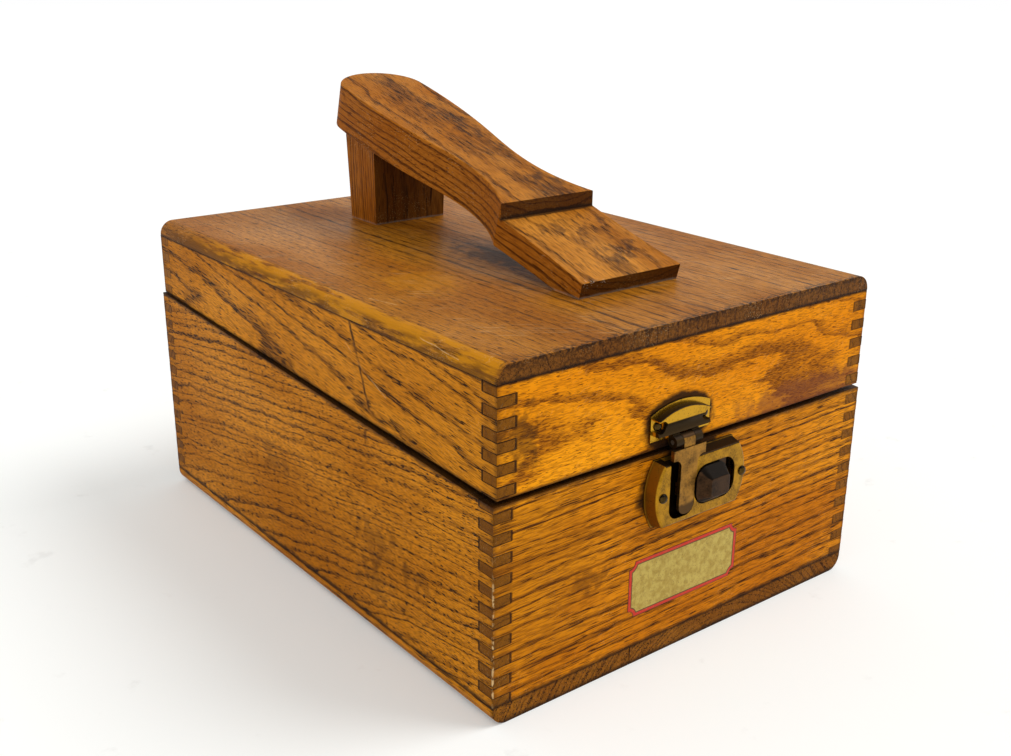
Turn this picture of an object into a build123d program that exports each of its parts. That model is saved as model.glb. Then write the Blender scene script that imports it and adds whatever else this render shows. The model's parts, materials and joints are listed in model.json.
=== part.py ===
from build123d import *
from math import atan, ceil, cos, radians, sin, tan
import os

# Wooden shoe shine box: a finger-jointed oak case sawn apart on a slope, a hinged lid that carries a
# shoe-shaped foot rest, and a brass hasp that drops into a lock case with a sliding button.
# Millimetres. +Z up, the table at Z = 0. X runs across the box, and -Y is the side with the lock.

# ---- Turns -----------------------------------------------------------------------------------------
quarter_turn = 90  # degrees
along_x = (0, quarter_turn, 0)  # lays a round part's axis along X

# ---- Box -------------------------------------------------------------------------------------------
box_width = 233.4
box_length = 316.1
wall = 9.5
finger = 4.7625  # height of one finger of the corner joints
bottom_thickness = 9.5
bottom_joint_x = -37.8  # glue line between the two boards of the bottom
base_front_height = 102.6  # table to the sloping rim, at the front face
base_rear_height = 120.0  # table to the sloping rim, at the rear face
long_edge_round = 7.8  # the long edges of the bottom and of the top are rounded over

# ---- Lid -------------------------------------------------------------------------------------------
lid_gap_front = 2.4  # the lid is hinge-bound, so it stands a little open at the front
lid_gap_rear = 0.4
lid_rear_wall = 33.4
lid_inset = 1.6  # the lid is this much narrower than the base on each side
top_thickness = 8.0
top_joint_x = -49.2  # glue line between the two boards of the top

# ---- Foot rest -------------------------------------------------------------------------------------
rest_x = 1.5
step_from_front = 110.0  # front face of the box to the step between the two treads
upper_slope = 15.5  # degrees
lower_slope = 16.5
underside_slope = 14.6
step_height = 7.8
toe_thickness = 7.6
toe_flat = 18.4  # length of the toe that is glued down flat on the lid
toe_length = 66.4  # step to toe, along the slope
toe_half_width = 31.2
ball_from_step = 25.0
ball_half_width = 29.2
step_half_width = 29.6
waist_from_step = 56.0
waist_half_width = 19.3
flank_from_step = 85.1
flank_half_width = 23.5
heel_from_step = 126.6
heel_half_width = 26.7
heel_round_from_step = 153.0
heel_round_half_width = 26.0
heel_round_depth = 19.6
tread_edge_round = 0.8

block_x = 1.2  # sideways place of the heel block, from the foot rest's centre line
block_from_front = 234.4
block_width = 46.6
block_depth = 26.4
block_flare = 1.6  # degrees that each face leans outwards

# ---- Wood screws and round-headed pins --------------------------------------------------------------
fastener_clearance = 0.05
rest_screw_shank = 1.9
rest_screw_head = 3.7
heel_screw_length = 32.0
toe_screw_length = 16.0
heel_screw_spread = 28.0
toe_screw_spread = 34.0
toe_screw_from_toe = 11.0
hinge_screw_shank = 1.2
hinge_screw_head = 2.6
hinge_screw_length = 8.0
screw_slot_width = 0.8
screw_slot_depth = 0.7
nail_head = 2.3
nail_head_height = 1.6
nail_shank = 0.9
nail_in_wood = 6.5
nail_point = 1.5

# ---- Butt hinges -----------------------------------------------------------------------------------
hinge_from_side = 25.7  # side of the box to the hinge's outer end
hinge_length = 38.0
hinge_leaf_height = 14.0
hinge_leaf_thickness = 1.3
knuckle_radius = 2.6
knuckle_count = 5
knuckle_gap = 0.3
hinge_pin_radius = 1.0
pin_clearance = 0.05
barrel_stand_off = 0.3  # barrel to the back of the box
hinge_screw_spread = 24.0

# ---- Hasp and its plate on the lid -----------------------------------------------------------------
hasp_x = -13.5
plate_half_width = 18.4
plate_height = 12.3
plate_arch = 4.0
plate_above_rim = 4.5
plate_thickness = 0.9
dome_inset = 2.2
dome_lip = 2.5  # plate's lower edge to the dome's lower lip
dome_height = 3.6
dome_edge_round = 0.9
cove_height = 6.0
cove_depth = 1.2
plate_nail_spread = 28.8
plate_nail_rise = 7.0
plate_nail_notch = 3.1
hasp_knuckle_radius = 2.8
hasp_knuckle_width = 4.5
hasp_eye_width = 7.0
hasp_eye_gap = 0.2
hasp_pin_radius = 1.1
hasp_pin_drop = 1.0  # plate's lower edge to the pin
hasp_pin_depth = 4.5
strip_thickness = 1.6
hasp_bar_width = 19.9
hasp_bar_height = 4.9
hasp_bar_drop = 3.0  # pin to the cross bar's upper edge
hasp_bar_fillet = 3.6
hasp_stem_width = 10.2
hasp_layer = 0.5
hasp_layer_length = 18.5  # pin to the lower edge of the doubled upper part
tongue_width = 9.4
tongue_length = 35.5  # pin to tip
tongue_tip_round = 4.2
keeper_width = 5.0
keeper_height = 6.0
keeper_eye_height = 3.0
keeper_eye_depth = 2.3
keeper_web = 1.0

# ---- Lock case -------------------------------------------------------------------------------------
case_x = -3.6
case_drop = 24.25  # hasp's pin to the middle of the case
case_depth = 7.0
case_half_height = 14.75  # of the front face
case_corner_half_width = 23.75
case_bulge = 4.75
case_draft = 1.0
case_wall = 0.9
case_edge_round = 1.2
case_plate_margin = 0.5
case_plate_thickness = 0.9
slot_width = 16.0
slot_right_gap = 0.6  # tongue's right edge to the slot
slot_bottom_gap = 1.0
slot_round = 5.5
case_nail_spread = 51.0
case_nail_x = 0.9

# ---- Button, bolt and spring -----------------------------------------------------------------------
button_travel = 5.5
button_hole_width = 26.0
button_hole_height = 19.5
button_hole_round = 7.0
button_hole_x = 8.4  # from the middle of the case
button_side_gap = 0.5
button_height = 18.0
button_neck = 1.8
button_corner = 6.2
button_face_width = 12.0
button_face_height = 9.0
button_face_corner = 1.5
button_proud = 6.0
button_edge_round = 0.6
bolt_clearance = 0.3
bolt_thickness = 2.0
bolt_height = 22.0
bolt_length = 20.0
bolt_nose_height = 2.4
bolt_nose_thickness = 1.4
rail_lip = 1.2
rail_ledge = 1.8
window_length = 14.5
window_height = 4.6
window_from_left = 3.5
spring_post = 1.2
spring_radius = 1.9
spring_play = 0.05

# ---- Label on the base -----------------------------------------------------------------------------
label_width = 70.8
label_height = 28.3
label_thickness = 0.12
label_notch = 3.6
label_x = -4.5
label_drop = 45.3  # middle of the lock case to the middle of the label

# ---- Places worked out from the sizes ---------------------------------------------------------------
hinge_axis_out = knuckle_radius + barrel_stand_off
front_y = -(box_length + hinge_axis_out + knuckle_radius - case_depth - button_proud) / 2
rear_y = front_y + box_length
half_width = box_width / 2
lid_half_width = half_width - lid_inset
lid_front_height = base_front_height + lid_gap_front
lid_rear_height = base_rear_height + lid_gap_rear
seam_height = lid_rear_height + lid_rear_wall
lid_top = seam_height + top_thickness
base_fingers = ceil((base_rear_height - bottom_thickness) / finger)
lid_fingers = ceil((seam_height - lid_front_height) / finger)

base_rim_angle = atan((base_rear_height - base_front_height) / box_length)
lid_rim_angle = atan((lid_rear_height - lid_front_height) / box_length)
base_rim = Plane(
    origin=(0, front_y, base_front_height),
    x_dir=(1, 0, 0),
    z_dir=(0, -sin(base_rim_angle), cos(base_rim_angle)),
)
lid_rim = Plane(
    origin=(0, front_y, lid_front_height),
    x_dir=(1, 0, 0),
    z_dir=(0, -sin(lid_rim_angle), cos(lid_rim_angle)),
)
front_plane = Plane(origin=(0, front_y, 0), x_dir=(1, 0, 0), z_dir=(0, -1, 0))

hinge_y = rear_y + hinge_axis_out
hinge_z = (base_rear_height + lid_rear_height) / 2
hinge_middle = half_width - hinge_from_side - hinge_length / 2
hinge_centres = {"left": -hinge_middle, "right": hinge_middle}

plate_bottom = lid_front_height + plate_above_rim
hasp_pin_z = plate_bottom - hasp_pin_drop
hasp_pin_y = front_y - hasp_pin_depth
case_z = hasp_pin_z - case_drop

os.makedirs("parts", exist_ok=True)


def wood_screw(head, shank, length, clearance):
    """A countersunk screw with its head's flat at the origin and its point down -Z, or its hole."""
    cone = head - shank
    with BuildPart() as screw:
        with BuildSketch(Plane.XZ):
            with BuildLine():
                Polyline(
                    (0, 0),
                    (head + clearance, 0),
                    (shank + clearance, -cone),
                    (shank + clearance, -length + shank),
                    (0, -length - clearance),
                    close=True,
                )
            make_face()
        revolve(axis=Axis.Z)
        if clearance == 0:
            Box(2 * head, screw_slot_width, 2 * screw_slot_depth, mode=Mode.SUBTRACT)
    return screw.part


def round_nail(length):
    """A nail with a domed head that sits on the plane Z = 0, and its point down -Z."""
    sphere = (nail_head**2 + nail_head_height**2) / (2 * nail_head_height)
    half_angle = atan(nail_head / (sphere - nail_head_height)) / 2
    dome = (sphere * sin(half_angle), nail_head_height - sphere + sphere * cos(half_angle))
    with BuildPart() as nail:
        with BuildSketch(Plane.XZ):
            with BuildLine():
                ThreePointArc((0, nail_head_height), dome, (nail_head, 0))
                Polyline(
                    (nail_head, 0),
                    (nail_shank, 0),
                    (nail_shank, nail_point - length),
                    (0, -length),
                    (0, nail_head_height),
                )
            make_face()
        revolve(axis=Axis.Z)
    return nail.part


def finger_places(count, first, from_height, direction, x_places, y_places):
    """Middles of every second finger of a corner joint, counted from one end of the boards."""
    heights = [from_height + direction * (k + 0.5) * finger for k in range(first, count, 2)]
    return [(x, y, z) for z in heights for x in x_places for y in y_places]


corner_y = (front_y + wall / 2, rear_y - wall / 2)

# ---- Base boards -----------------------------------------------------------------------------------
# The side boards keep every first finger from the bottom, and the front and rear boards the others.
base_height_range = base_rear_height - bottom_thickness
for side, sign in (("left", -1), ("right", 1)):
    board_x = sign * (half_width - wall / 2)
    with BuildPart() as base_side_board:
        with Locations((board_x, front_y + box_length / 2, bottom_thickness + base_height_range / 2)):
            Box(wall, box_length, base_height_range)
        split(bisect_by=base_rim, keep=Keep.BOTTOM)
        with Locations(*finger_places(base_fingers, 1, bottom_thickness, 1, (board_x,), corner_y)):
            Box(wall, wall, finger, mode=Mode.SUBTRACT)
    base_side_board.part.label = f"base_{side}_board"
    export_step(base_side_board.part, f"parts/base_{side}_board.step")

base_corner_x = (-half_width + wall / 2, half_width - wall / 2)
case_nails_x = (case_x + case_nail_x - case_nail_spread / 2, case_x + case_nail_x + case_nail_spread / 2)
case_nail_length = case_depth + nail_in_wood
case_nail_places = [
    Plane(origin=(x, front_y - case_depth, case_z), z_dir=(0, -1, 0)) for x in case_nails_x
]
with BuildPart() as base_front_board:
    with Locations((0, corner_y[0], bottom_thickness + base_height_range / 2)):
        Box(box_width, wall, base_height_range)
    split(bisect_by=base_rim, keep=Keep.BOTTOM)
    with Locations(*finger_places(base_fingers, 0, bottom_thickness, 1, base_corner_x, corner_y[:1])):
        Box(wall, wall, finger, mode=Mode.SUBTRACT)
    with Locations(*case_nail_places):
        Cylinder(
            nail_shank + fastener_clearance,
            2 * (case_nail_length + fastener_clearance),
            mode=Mode.SUBTRACT,
        )
base_front_board.part.label = "base_front_board"
export_step(base_front_board.part, "parts/base_front_board.step")

hinge_leaf_face_y = rear_y + hinge_leaf_thickness
hinge_screw_rise = (hinge_leaf_height + knuckle_radius) / 2
hinge_screw_x = [
    centre + offset
    for centre in hinge_centres.values()
    for offset in (-hinge_screw_spread / 2, hinge_screw_spread / 2)
]
base_hinge_screw_places = [
    Plane(origin=(x, hinge_leaf_face_y, hinge_z - hinge_screw_rise), z_dir=(0, 1, 0)) for x in hinge_screw_x
]
lid_hinge_screw_places = [
    Plane(origin=(x, hinge_leaf_face_y, hinge_z + hinge_screw_rise), z_dir=(0, 1, 0)) for x in hinge_screw_x
]
hinge_screw = wood_screw(hinge_screw_head, hinge_screw_shank, hinge_screw_length, 0)
hinge_screw_hole = wood_screw(
    hinge_screw_head, hinge_screw_shank, hinge_screw_length, fastener_clearance
)
with BuildPart() as base_back_board:
    with Locations((0, corner_y[1], bottom_thickness + base_height_range / 2)):
        Box(box_width, wall, base_height_range)
    split(bisect_by=base_rim, keep=Keep.BOTTOM)
    with Locations(*finger_places(base_fingers, 0, bottom_thickness, 1, base_corner_x, corner_y[1:])):
        Box(wall, wall, finger, mode=Mode.SUBTRACT)
    with Locations(*base_hinge_screw_places):
        add(hinge_screw_hole, mode=Mode.SUBTRACT)
base_back_board.part.label = "base_back_board"
export_step(base_back_board.part, "parts/base_back_board.step")

# ---- Bottom, glued up from two boards --------------------------------------------------------------
for side, sign, board_width in (
    ("left", -1, bottom_joint_x + half_width),
    ("right", 1, half_width - bottom_joint_x),
):
    board_x = sign * (half_width - board_width / 2)
    with BuildPart() as bottom_board:
        with Locations((board_x, front_y + box_length / 2, bottom_thickness / 2)):
            Box(board_width, box_length, bottom_thickness)
        lower_edges = bottom_board.edges().filter_by(Axis.Y).group_by(Axis.Z)[0]
        fillet(lower_edges.sort_by(Axis.X)[min(0, -sign)], radius=long_edge_round)
    bottom_board.part.label = f"bottom_board_{side}"
    export_step(bottom_board.part, f"parts/bottom_board_{side}.step")

# ---- Lid boards ------------------------------------------------------------------------------------
# Counted down from the seam, the front and rear boards keep every first finger.
lid_wall_height = seam_height - lid_front_height
lid_wall_z = seam_height - lid_wall_height / 2
for side, sign in (("left", -1), ("right", 1)):
    board_x = sign * (lid_half_width - wall / 2)
    with BuildPart() as lid_side_board:
        with Locations((board_x, front_y + box_length / 2, lid_wall_z)):
            Box(wall, box_length, lid_wall_height)
        split(bisect_by=lid_rim, keep=Keep.TOP)
        with Locations(*finger_places(lid_fingers, 0, seam_height, -1, (board_x,), corner_y)):
            Box(wall, wall, finger, mode=Mode.SUBTRACT)
    lid_side_board.part.label = f"lid_{side}_board"
    export_step(lid_side_board.part, f"parts/lid_{side}_board.step")

lid_corner_x = (-lid_half_width + wall / 2, lid_half_width - wall / 2)
plate_nail_z = plate_bottom + plate_nail_rise
plate_nail_length = plate_thickness + nail_in_wood
plate_nail_places = [
    Plane(origin=(hasp_x + offset, front_y - plate_thickness, plate_nail_z), z_dir=(0, -1, 0))
    for offset in (-plate_nail_spread / 2, plate_nail_spread / 2)
]
with BuildPart() as lid_front_board:
    with Locations((0, corner_y[0], lid_wall_z)):
        Box(2 * lid_half_width, wall, lid_wall_height)
    split(bisect_by=lid_rim, keep=Keep.TOP)
    with Locations(*finger_places(lid_fingers, 1, seam_height, -1, lid_corner_x, corner_y[:1])):
        Box(wall, wall, finger, mode=Mode.SUBTRACT)
    with Locations(*plate_nail_places):
        Cylinder(
            nail_shank + fastener_clearance,
            2 * (plate_nail_length + fastener_clearance),
            mode=Mode.SUBTRACT,
        )
lid_front_board.part.label = "lid_front_board"
export_step(lid_front_board.part, "parts/lid_front_board.step")

with BuildPart() as lid_back_board:
    with Locations((0, corner_y[1], lid_wall_z)):
        Box(2 * lid_half_width, wall, lid_wall_height)
    split(bisect_by=lid_rim, keep=Keep.TOP)
    with Locations(*finger_places(lid_fingers, 1, seam_height, -1, lid_corner_x, corner_y[1:])):
        Box(wall, wall, finger, mode=Mode.SUBTRACT)
    with Locations(*lid_hinge_screw_places):
        add(hinge_screw_hole, mode=Mode.SUBTRACT)
lid_back_board.part.label = "lid_back_board"
export_step(lid_back_board.part, "parts/lid_back_board.step")

# ---- Foot rest -------------------------------------------------------------------------------------
# The sole's plan lies on the plane of the upper tread, with its v axis running up to the heel.
step_y = front_y + step_from_front
upper_rise = tan(radians(upper_slope))
lower_rise = tan(radians(lower_slope))
underside_rise = tan(radians(underside_slope))
slope_cos = cos(radians(upper_slope))
slope_sin = sin(radians(upper_slope))
toe_run = (toe_length - step_height * slope_sin) / (slope_cos + slope_sin * lower_rise)
step_foot = lid_top + toe_thickness + toe_run * lower_rise
step_top = step_foot + step_height
tread_plane = Plane(
    origin=(rest_x, step_y, step_top), x_dir=(1, 0, 0), z_dir=(0, -slope_sin, slope_cos)
)
toe_y = step_y - toe_run
heel_tip_y = step_y + (heel_round_from_step + heel_round_depth) * slope_cos
toe_bottom_y = toe_y + toe_thickness * upper_rise
underside_start_y = toe_bottom_y + toe_flat
past_end = toe_thickness  # the side view runs past both ends of the plan, which cuts them to length

toe_screw_y = toe_bottom_y + toe_screw_from_toe
block_y = front_y + block_from_front + block_depth / 2
toe_screw_places = [
    Plane(origin=(rest_x + offset, toe_screw_y, seam_height), z_dir=(0, 0, -1))
    for offset in (-toe_screw_spread / 2, toe_screw_spread / 2)
]
heel_screw_places = [
    Plane(origin=(rest_x + block_x + offset, block_y, seam_height), z_dir=(0, 0, -1))
    for offset in (-heel_screw_spread / 2, heel_screw_spread / 2)
]
toe_screw = wood_screw(rest_screw_head, rest_screw_shank, toe_screw_length, 0)
toe_screw_hole = wood_screw(rest_screw_head, rest_screw_shank, toe_screw_length, fastener_clearance)
heel_screw = wood_screw(rest_screw_head, rest_screw_shank, heel_screw_length, 0)
heel_screw_hole = wood_screw(rest_screw_head, rest_screw_shank, heel_screw_length, fastener_clearance)

with BuildPart() as foot_rest_sole:
    with BuildSketch(tread_plane):
        with BuildLine():
            Line((0, -toe_length), (toe_half_width, -toe_length))
            Spline(
                (toe_half_width, -toe_length),
                (ball_half_width, -ball_from_step),
                (step_half_width, 0),
            )
            Spline(
                (step_half_width, 0),
                (waist_half_width, waist_from_step),
                (flank_half_width, flank_from_step),
                (heel_half_width, heel_from_step),
                (heel_round_half_width, heel_round_from_step),
            )
            EllipticalCenterArc(
                (0, heel_round_from_step),
                heel_round_half_width,
                heel_round_depth,
                start_angle=0,
                arc_size=quarter_turn,
            )
            mirror(about=Plane.YZ)
        make_face()
    extrude(amount=step_top - lid_top, both=True)
    with BuildSketch(Plane.YZ):
        with BuildLine():
            Polyline(
                (toe_y - past_end, lid_top),
                (underside_start_y, lid_top),
                (
                    heel_tip_y + past_end,
                    lid_top + (heel_tip_y + past_end - underside_start_y) * underside_rise,
                ),
                (heel_tip_y + past_end, step_top + (heel_tip_y + past_end - step_y) * upper_rise),
                (step_y, step_top),
                (step_y, step_foot),
                (toe_y - past_end, step_foot - (step_y - toe_y + past_end) * lower_rise),
                close=True,
            )
        make_face()
    extrude(amount=box_width, both=True, mode=Mode.INTERSECT)
    upper_tread = foot_rest_sole.faces().sort_by(Axis.Z)[-1]
    fillet(upper_tread.edges(), radius=tread_edge_round)
    with Locations(*toe_screw_places):
        add(toe_screw_hole, mode=Mode.SUBTRACT)
foot_rest_sole.part.label = "foot_rest_sole"
export_step(foot_rest_sole.part, "parts/foot_rest_sole.step")

underside = Plane(
    origin=(0, underside_start_y, lid_top),
    x_dir=(1, 0, 0),
    z_dir=(0, -sin(radians(underside_slope)), cos(radians(underside_slope))),
)
with BuildPart() as foot_rest_heel_block:
    with BuildSketch(Plane.XY.offset(lid_top)):
        with Locations((rest_x + block_x, block_y)):
            Rectangle(block_width, block_depth)
    extrude(amount=step_top - lid_top + block_depth, taper=-block_flare)
    split(bisect_by=underside, keep=Keep.BOTTOM)
    with Locations(*heel_screw_places):
        add(heel_screw_hole, mode=Mode.SUBTRACT)
foot_rest_heel_block.part.label = "foot_rest_heel_block"
export_step(foot_rest_heel_block.part, "parts/foot_rest_heel_block.step")

with BuildPart() as foot_rest_screws:
    with Locations(*toe_screw_places):
        add(toe_screw)
    with Locations(*heel_screw_places):
        add(heel_screw)
foot_rest_screws.part.label = "foot_rest_screws"
export_step(foot_rest_screws.part, "parts/foot_rest_screws.step")

# ---- Top, glued up from two boards -----------------------------------------------------------------
for side, sign, board_width in (
    ("left", -1, top_joint_x + lid_half_width),
    ("right", 1, lid_half_width - top_joint_x),
):
    board_x = sign * (lid_half_width - board_width / 2)
    with BuildPart() as top_board:
        with Locations((board_x, front_y + box_length / 2, seam_height + top_thickness / 2)):
            Box(board_width, box_length, top_thickness)
        upper_edges = top_board.edges().filter_by(Axis.Y).group_by(Axis.Z)[-1]
        fillet(upper_edges.sort_by(Axis.X)[min(0, -sign)], radius=long_edge_round)
        with Locations(*toe_screw_places):
            add(toe_screw_hole, mode=Mode.SUBTRACT)
        with Locations(*heel_screw_places):
            add(heel_screw_hole, mode=Mode.SUBTRACT)
    top_board.part.label = f"top_board_{side}"
    export_step(top_board.part, f"parts/top_board_{side}.step")

# ---- Butt hinges -----------------------------------------------------------------------------------
# Each leaf is screwed to the outside of the back, and its knuckles alternate along one pin.
knuckle_length = (hinge_length - (knuckle_count - 1) * knuckle_gap) / knuckle_count
leaf_root = knuckle_radius + barrel_stand_off
leaf_y = rear_y + hinge_leaf_thickness / 2
for body, up, first_knuckle, screw_places in (
    ("base", -1, 0, base_hinge_screw_places),
    ("lid", 1, 1, lid_hinge_screw_places),
):
    for side, hinge_x in hinge_centres.items():
        knuckle_places = [
            (
                hinge_x - hinge_length / 2 + knuckle_length / 2 + k * (knuckle_length + knuckle_gap),
                hinge_y,
                hinge_z,
            )
            for k in range(first_knuckle, knuckle_count, 2)
        ]
        with BuildPart() as hinge_leaf:
            with Locations((hinge_x, leaf_y, hinge_z + up * (hinge_leaf_height + leaf_root) / 2)):
                Box(hinge_length, hinge_leaf_thickness, hinge_leaf_height - leaf_root)
            with Locations(*knuckle_places):
                Cylinder(knuckle_radius, knuckle_length, rotation=along_x)
            with Locations(*[(x, leaf_y, z + up * leaf_root / 2) for x, y, z in knuckle_places]):
                Box(knuckle_length, hinge_leaf_thickness, leaf_root)
            with Locations((hinge_x, hinge_y, hinge_z)):
                Cylinder(
                    hinge_pin_radius + pin_clearance,
                    hinge_length,
                    rotation=along_x,
                    mode=Mode.SUBTRACT,
                )
            with Locations(*screw_places):
                add(hinge_screw_hole, mode=Mode.SUBTRACT)
        hinge_leaf.part.label = f"{body}_hinge_leaf_{side}"
        export_step(hinge_leaf.part, f"parts/{body}_hinge_leaf_{side}.step")

    with BuildPart() as hinge_screws:
        with Locations(*screw_places):
            add(hinge_screw)
    hinge_screws.part.label = f"{body}_hinge_screws"
    export_step(hinge_screws.part, f"parts/{body}_hinge_screws.step")

for side, hinge_x in hinge_centres.items():
    with BuildPart() as hinge_pin:
        with Locations((hinge_x, hinge_y, hinge_z)):
            Cylinder(hinge_pin_radius, hinge_length, rotation=along_x)
    hinge_pin.part.label = f"hinge_pin_{side}"
    export_step(hinge_pin.part, f"parts/hinge_pin_{side}.step")

# ---- Hasp plate on the lid -------------------------------------------------------------------------
knuckle_offset = (hasp_eye_width + hasp_knuckle_width) / 2 + hasp_eye_gap
plate_knuckle_x = (hasp_x - knuckle_offset, hasp_x + knuckle_offset)
lip_z = plate_bottom + dome_lip
plate_shoulder = plate_bottom + plate_height
cove_radius = ((cove_height / 2) ** 2 + cove_depth**2) / (2 * cove_depth)
web_height = lip_z - hasp_pin_z
with BuildPart() as lid_latch_plate:
    for level, inset, bottom, height in (
        (0, 0, plate_bottom, plate_thickness),
        (plate_thickness, dome_inset, lip_z, dome_height),
    ):
        with BuildSketch(front_plane.offset(level)):
            with BuildLine():
                Polyline(
                    (hasp_x - plate_half_width + inset, plate_shoulder - inset),
                    (hasp_x - plate_half_width + inset, bottom),
                    (hasp_x + plate_half_width - inset, bottom),
                    (hasp_x + plate_half_width - inset, plate_shoulder - inset),
                )
                ThreePointArc(
                    (hasp_x + plate_half_width - inset, plate_shoulder - inset),
                    (hasp_x, plate_shoulder + plate_arch - inset),
                    (hasp_x - plate_half_width + inset, plate_shoulder - inset),
                )
            make_face()
        extrude(amount=height)
    dome_front = lid_latch_plate.faces().sort_by(Axis.Y)[0]
    fillet(dome_front.edges(), radius=dome_edge_round)
    cove_y = front_y - plate_thickness - dome_height + cove_depth - cove_radius
    with Locations((hasp_x, cove_y, lip_z + cove_height / 2)):
        Cylinder(cove_radius, 2 * plate_half_width, rotation=along_x, mode=Mode.SUBTRACT)
    with BuildSketch(front_plane.offset(plate_thickness)):
        with Locations(
            (hasp_x - plate_nail_spread / 2, plate_nail_z), (hasp_x + plate_nail_spread / 2, plate_nail_z)
        ):
            Circle(plate_nail_notch)
    extrude(amount=dome_height, mode=Mode.SUBTRACT)
    with Locations(*[(x, hasp_pin_y, hasp_pin_z) for x in plate_knuckle_x]):
        Cylinder(hasp_knuckle_radius, hasp_knuckle_width, rotation=along_x)
    with Locations(
        *[(x, (hasp_pin_y + front_y) / 2, hasp_pin_z + web_height / 2) for x in plate_knuckle_x]
    ):
        Box(hasp_knuckle_width, hasp_pin_depth, web_height)
    with Locations((hasp_x, hasp_pin_y, hasp_pin_z)):
        Cylinder(
            hasp_pin_radius + pin_clearance,
            2 * plate_half_width,
            rotation=along_x,
            mode=Mode.SUBTRACT,
        )
    with Locations(*plate_nail_places):
        Cylinder(
            nail_shank + fastener_clearance,
            2 * plate_nail_length,
            mode=Mode.SUBTRACT,
        )
lid_latch_plate.part.label = "lid_latch_plate"
export_step(lid_latch_plate.part, "parts/lid_latch_plate.step")

with BuildPart() as lid_plate_nails:
    with Locations(*plate_nail_places):
        add(round_nail(plate_nail_length))
lid_plate_nails.part.label = "lid_plate_nails"
export_step(lid_plate_nails.part, "parts/lid_plate_nails.step")

hasp_pin_length = 2 * (knuckle_offset + hasp_knuckle_width / 2)
with BuildPart() as hasp_pin:
    with Locations((hasp_x, hasp_pin_y, hasp_pin_z)):
        Cylinder(hasp_pin_radius, hasp_pin_length, rotation=along_x)
hasp_pin.part.label = "hasp_pin"
export_step(hasp_pin.part, "parts/hasp_pin.step")

# ---- Hasp ------------------------------------------------------------------------------------------
# A strip rolled round the pin, with a cross bar, a doubled upper part and a keeper behind the tongue.
strip_front = hasp_pin_depth + hasp_knuckle_radius
strip_back = strip_front - strip_thickness
bar_top = hasp_pin_z - hasp_bar_drop
bar_bottom = bar_top - hasp_bar_height
layer_bottom = hasp_pin_z - hasp_layer_length
tongue_tip = hasp_pin_z - tongue_length
keeper_depth = keeper_eye_depth + keeper_web
with BuildPart() as hasp:
    with Locations((hasp_x, hasp_pin_y, hasp_pin_z)):
        Cylinder(hasp_knuckle_radius, hasp_eye_width, rotation=along_x)
    for level, thickness, top, top_width, stem_width, lower_end, end_round in (
        (
            strip_back,
            strip_thickness,
            hasp_pin_z,
            hasp_eye_width,
            tongue_width,
            tongue_tip,
            tongue_tip_round,
        ),
        (strip_front, hasp_layer, bar_top, 0, hasp_stem_width, layer_bottom, 0),
    ):
        with BuildSketch(front_plane.offset(level)) as hasp_outline:
            with Locations((hasp_x, (lower_end + bar_top) / 2)):
                Rectangle(stem_width, bar_top - lower_end)
            with Locations((hasp_x, (bar_top + bar_bottom) / 2)):
                Rectangle(hasp_bar_width, hasp_bar_height)
            under_bar = hasp_outline.vertices().group_by(Axis.Y)[1].sort_by(Axis.X)
            fillet(under_bar[1:3], radius=hasp_bar_fillet)
            if end_round > 0:
                fillet(hasp_outline.vertices().group_by(Axis.Y)[0], radius=end_round)
            if top_width > 0:
                with Locations((hasp_x, (top + bar_top) / 2)):
                    Rectangle(top_width, top - bar_top)
        extrude(amount=thickness)
    with Locations((hasp_x, front_y - strip_back + keeper_depth / 2, case_z)):
        Box(keeper_width, keeper_depth, keeper_height)
    with Locations((hasp_x, front_y - strip_back + keeper_eye_depth / 2, case_z)):
        Box(keeper_width, keeper_eye_depth, keeper_eye_height, mode=Mode.SUBTRACT)
    with Locations((hasp_x, hasp_pin_y, hasp_pin_z)):
        Cylinder(
            hasp_pin_radius + pin_clearance, hasp_pin_length, rotation=along_x, mode=Mode.SUBTRACT
        )
hasp.part.label = "hasp"
export_step(hasp.part, "parts/hasp.step")

# ---- Lock case -------------------------------------------------------------------------------------
shell_depth = case_depth - case_plate_thickness
slot_right = hasp_x + tongue_width / 2 + slot_right_gap
slot_bottom = tongue_tip - slot_bottom_gap
slot_top = case_z + 2 * case_half_height
button_left = case_x + button_hole_x - button_hole_width / 2 + button_side_gap
button_width = button_hole_width - button_travel - 2 * button_side_gap
button_x = button_left + button_width / 2


def case_outline(grow):
    """The lock case's outline with bowed ends, grown all round."""
    half_height = case_half_height + grow
    corner = case_corner_half_width + grow
    with BuildSketch() as outline:
        with BuildLine():
            ThreePointArc(
                (case_x + corner, case_z - half_height),
                (case_x + corner + case_bulge, case_z),
                (case_x + corner, case_z + half_height),
            )
            Line((case_x + corner, case_z + half_height), (case_x - corner, case_z + half_height))
            ThreePointArc(
                (case_x - corner, case_z + half_height),
                (case_x - corner - case_bulge, case_z),
                (case_x - corner, case_z - half_height),
            )
            Line((case_x - corner, case_z - half_height), (case_x + corner, case_z - half_height))
        make_face()
    return outline.sketch


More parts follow.
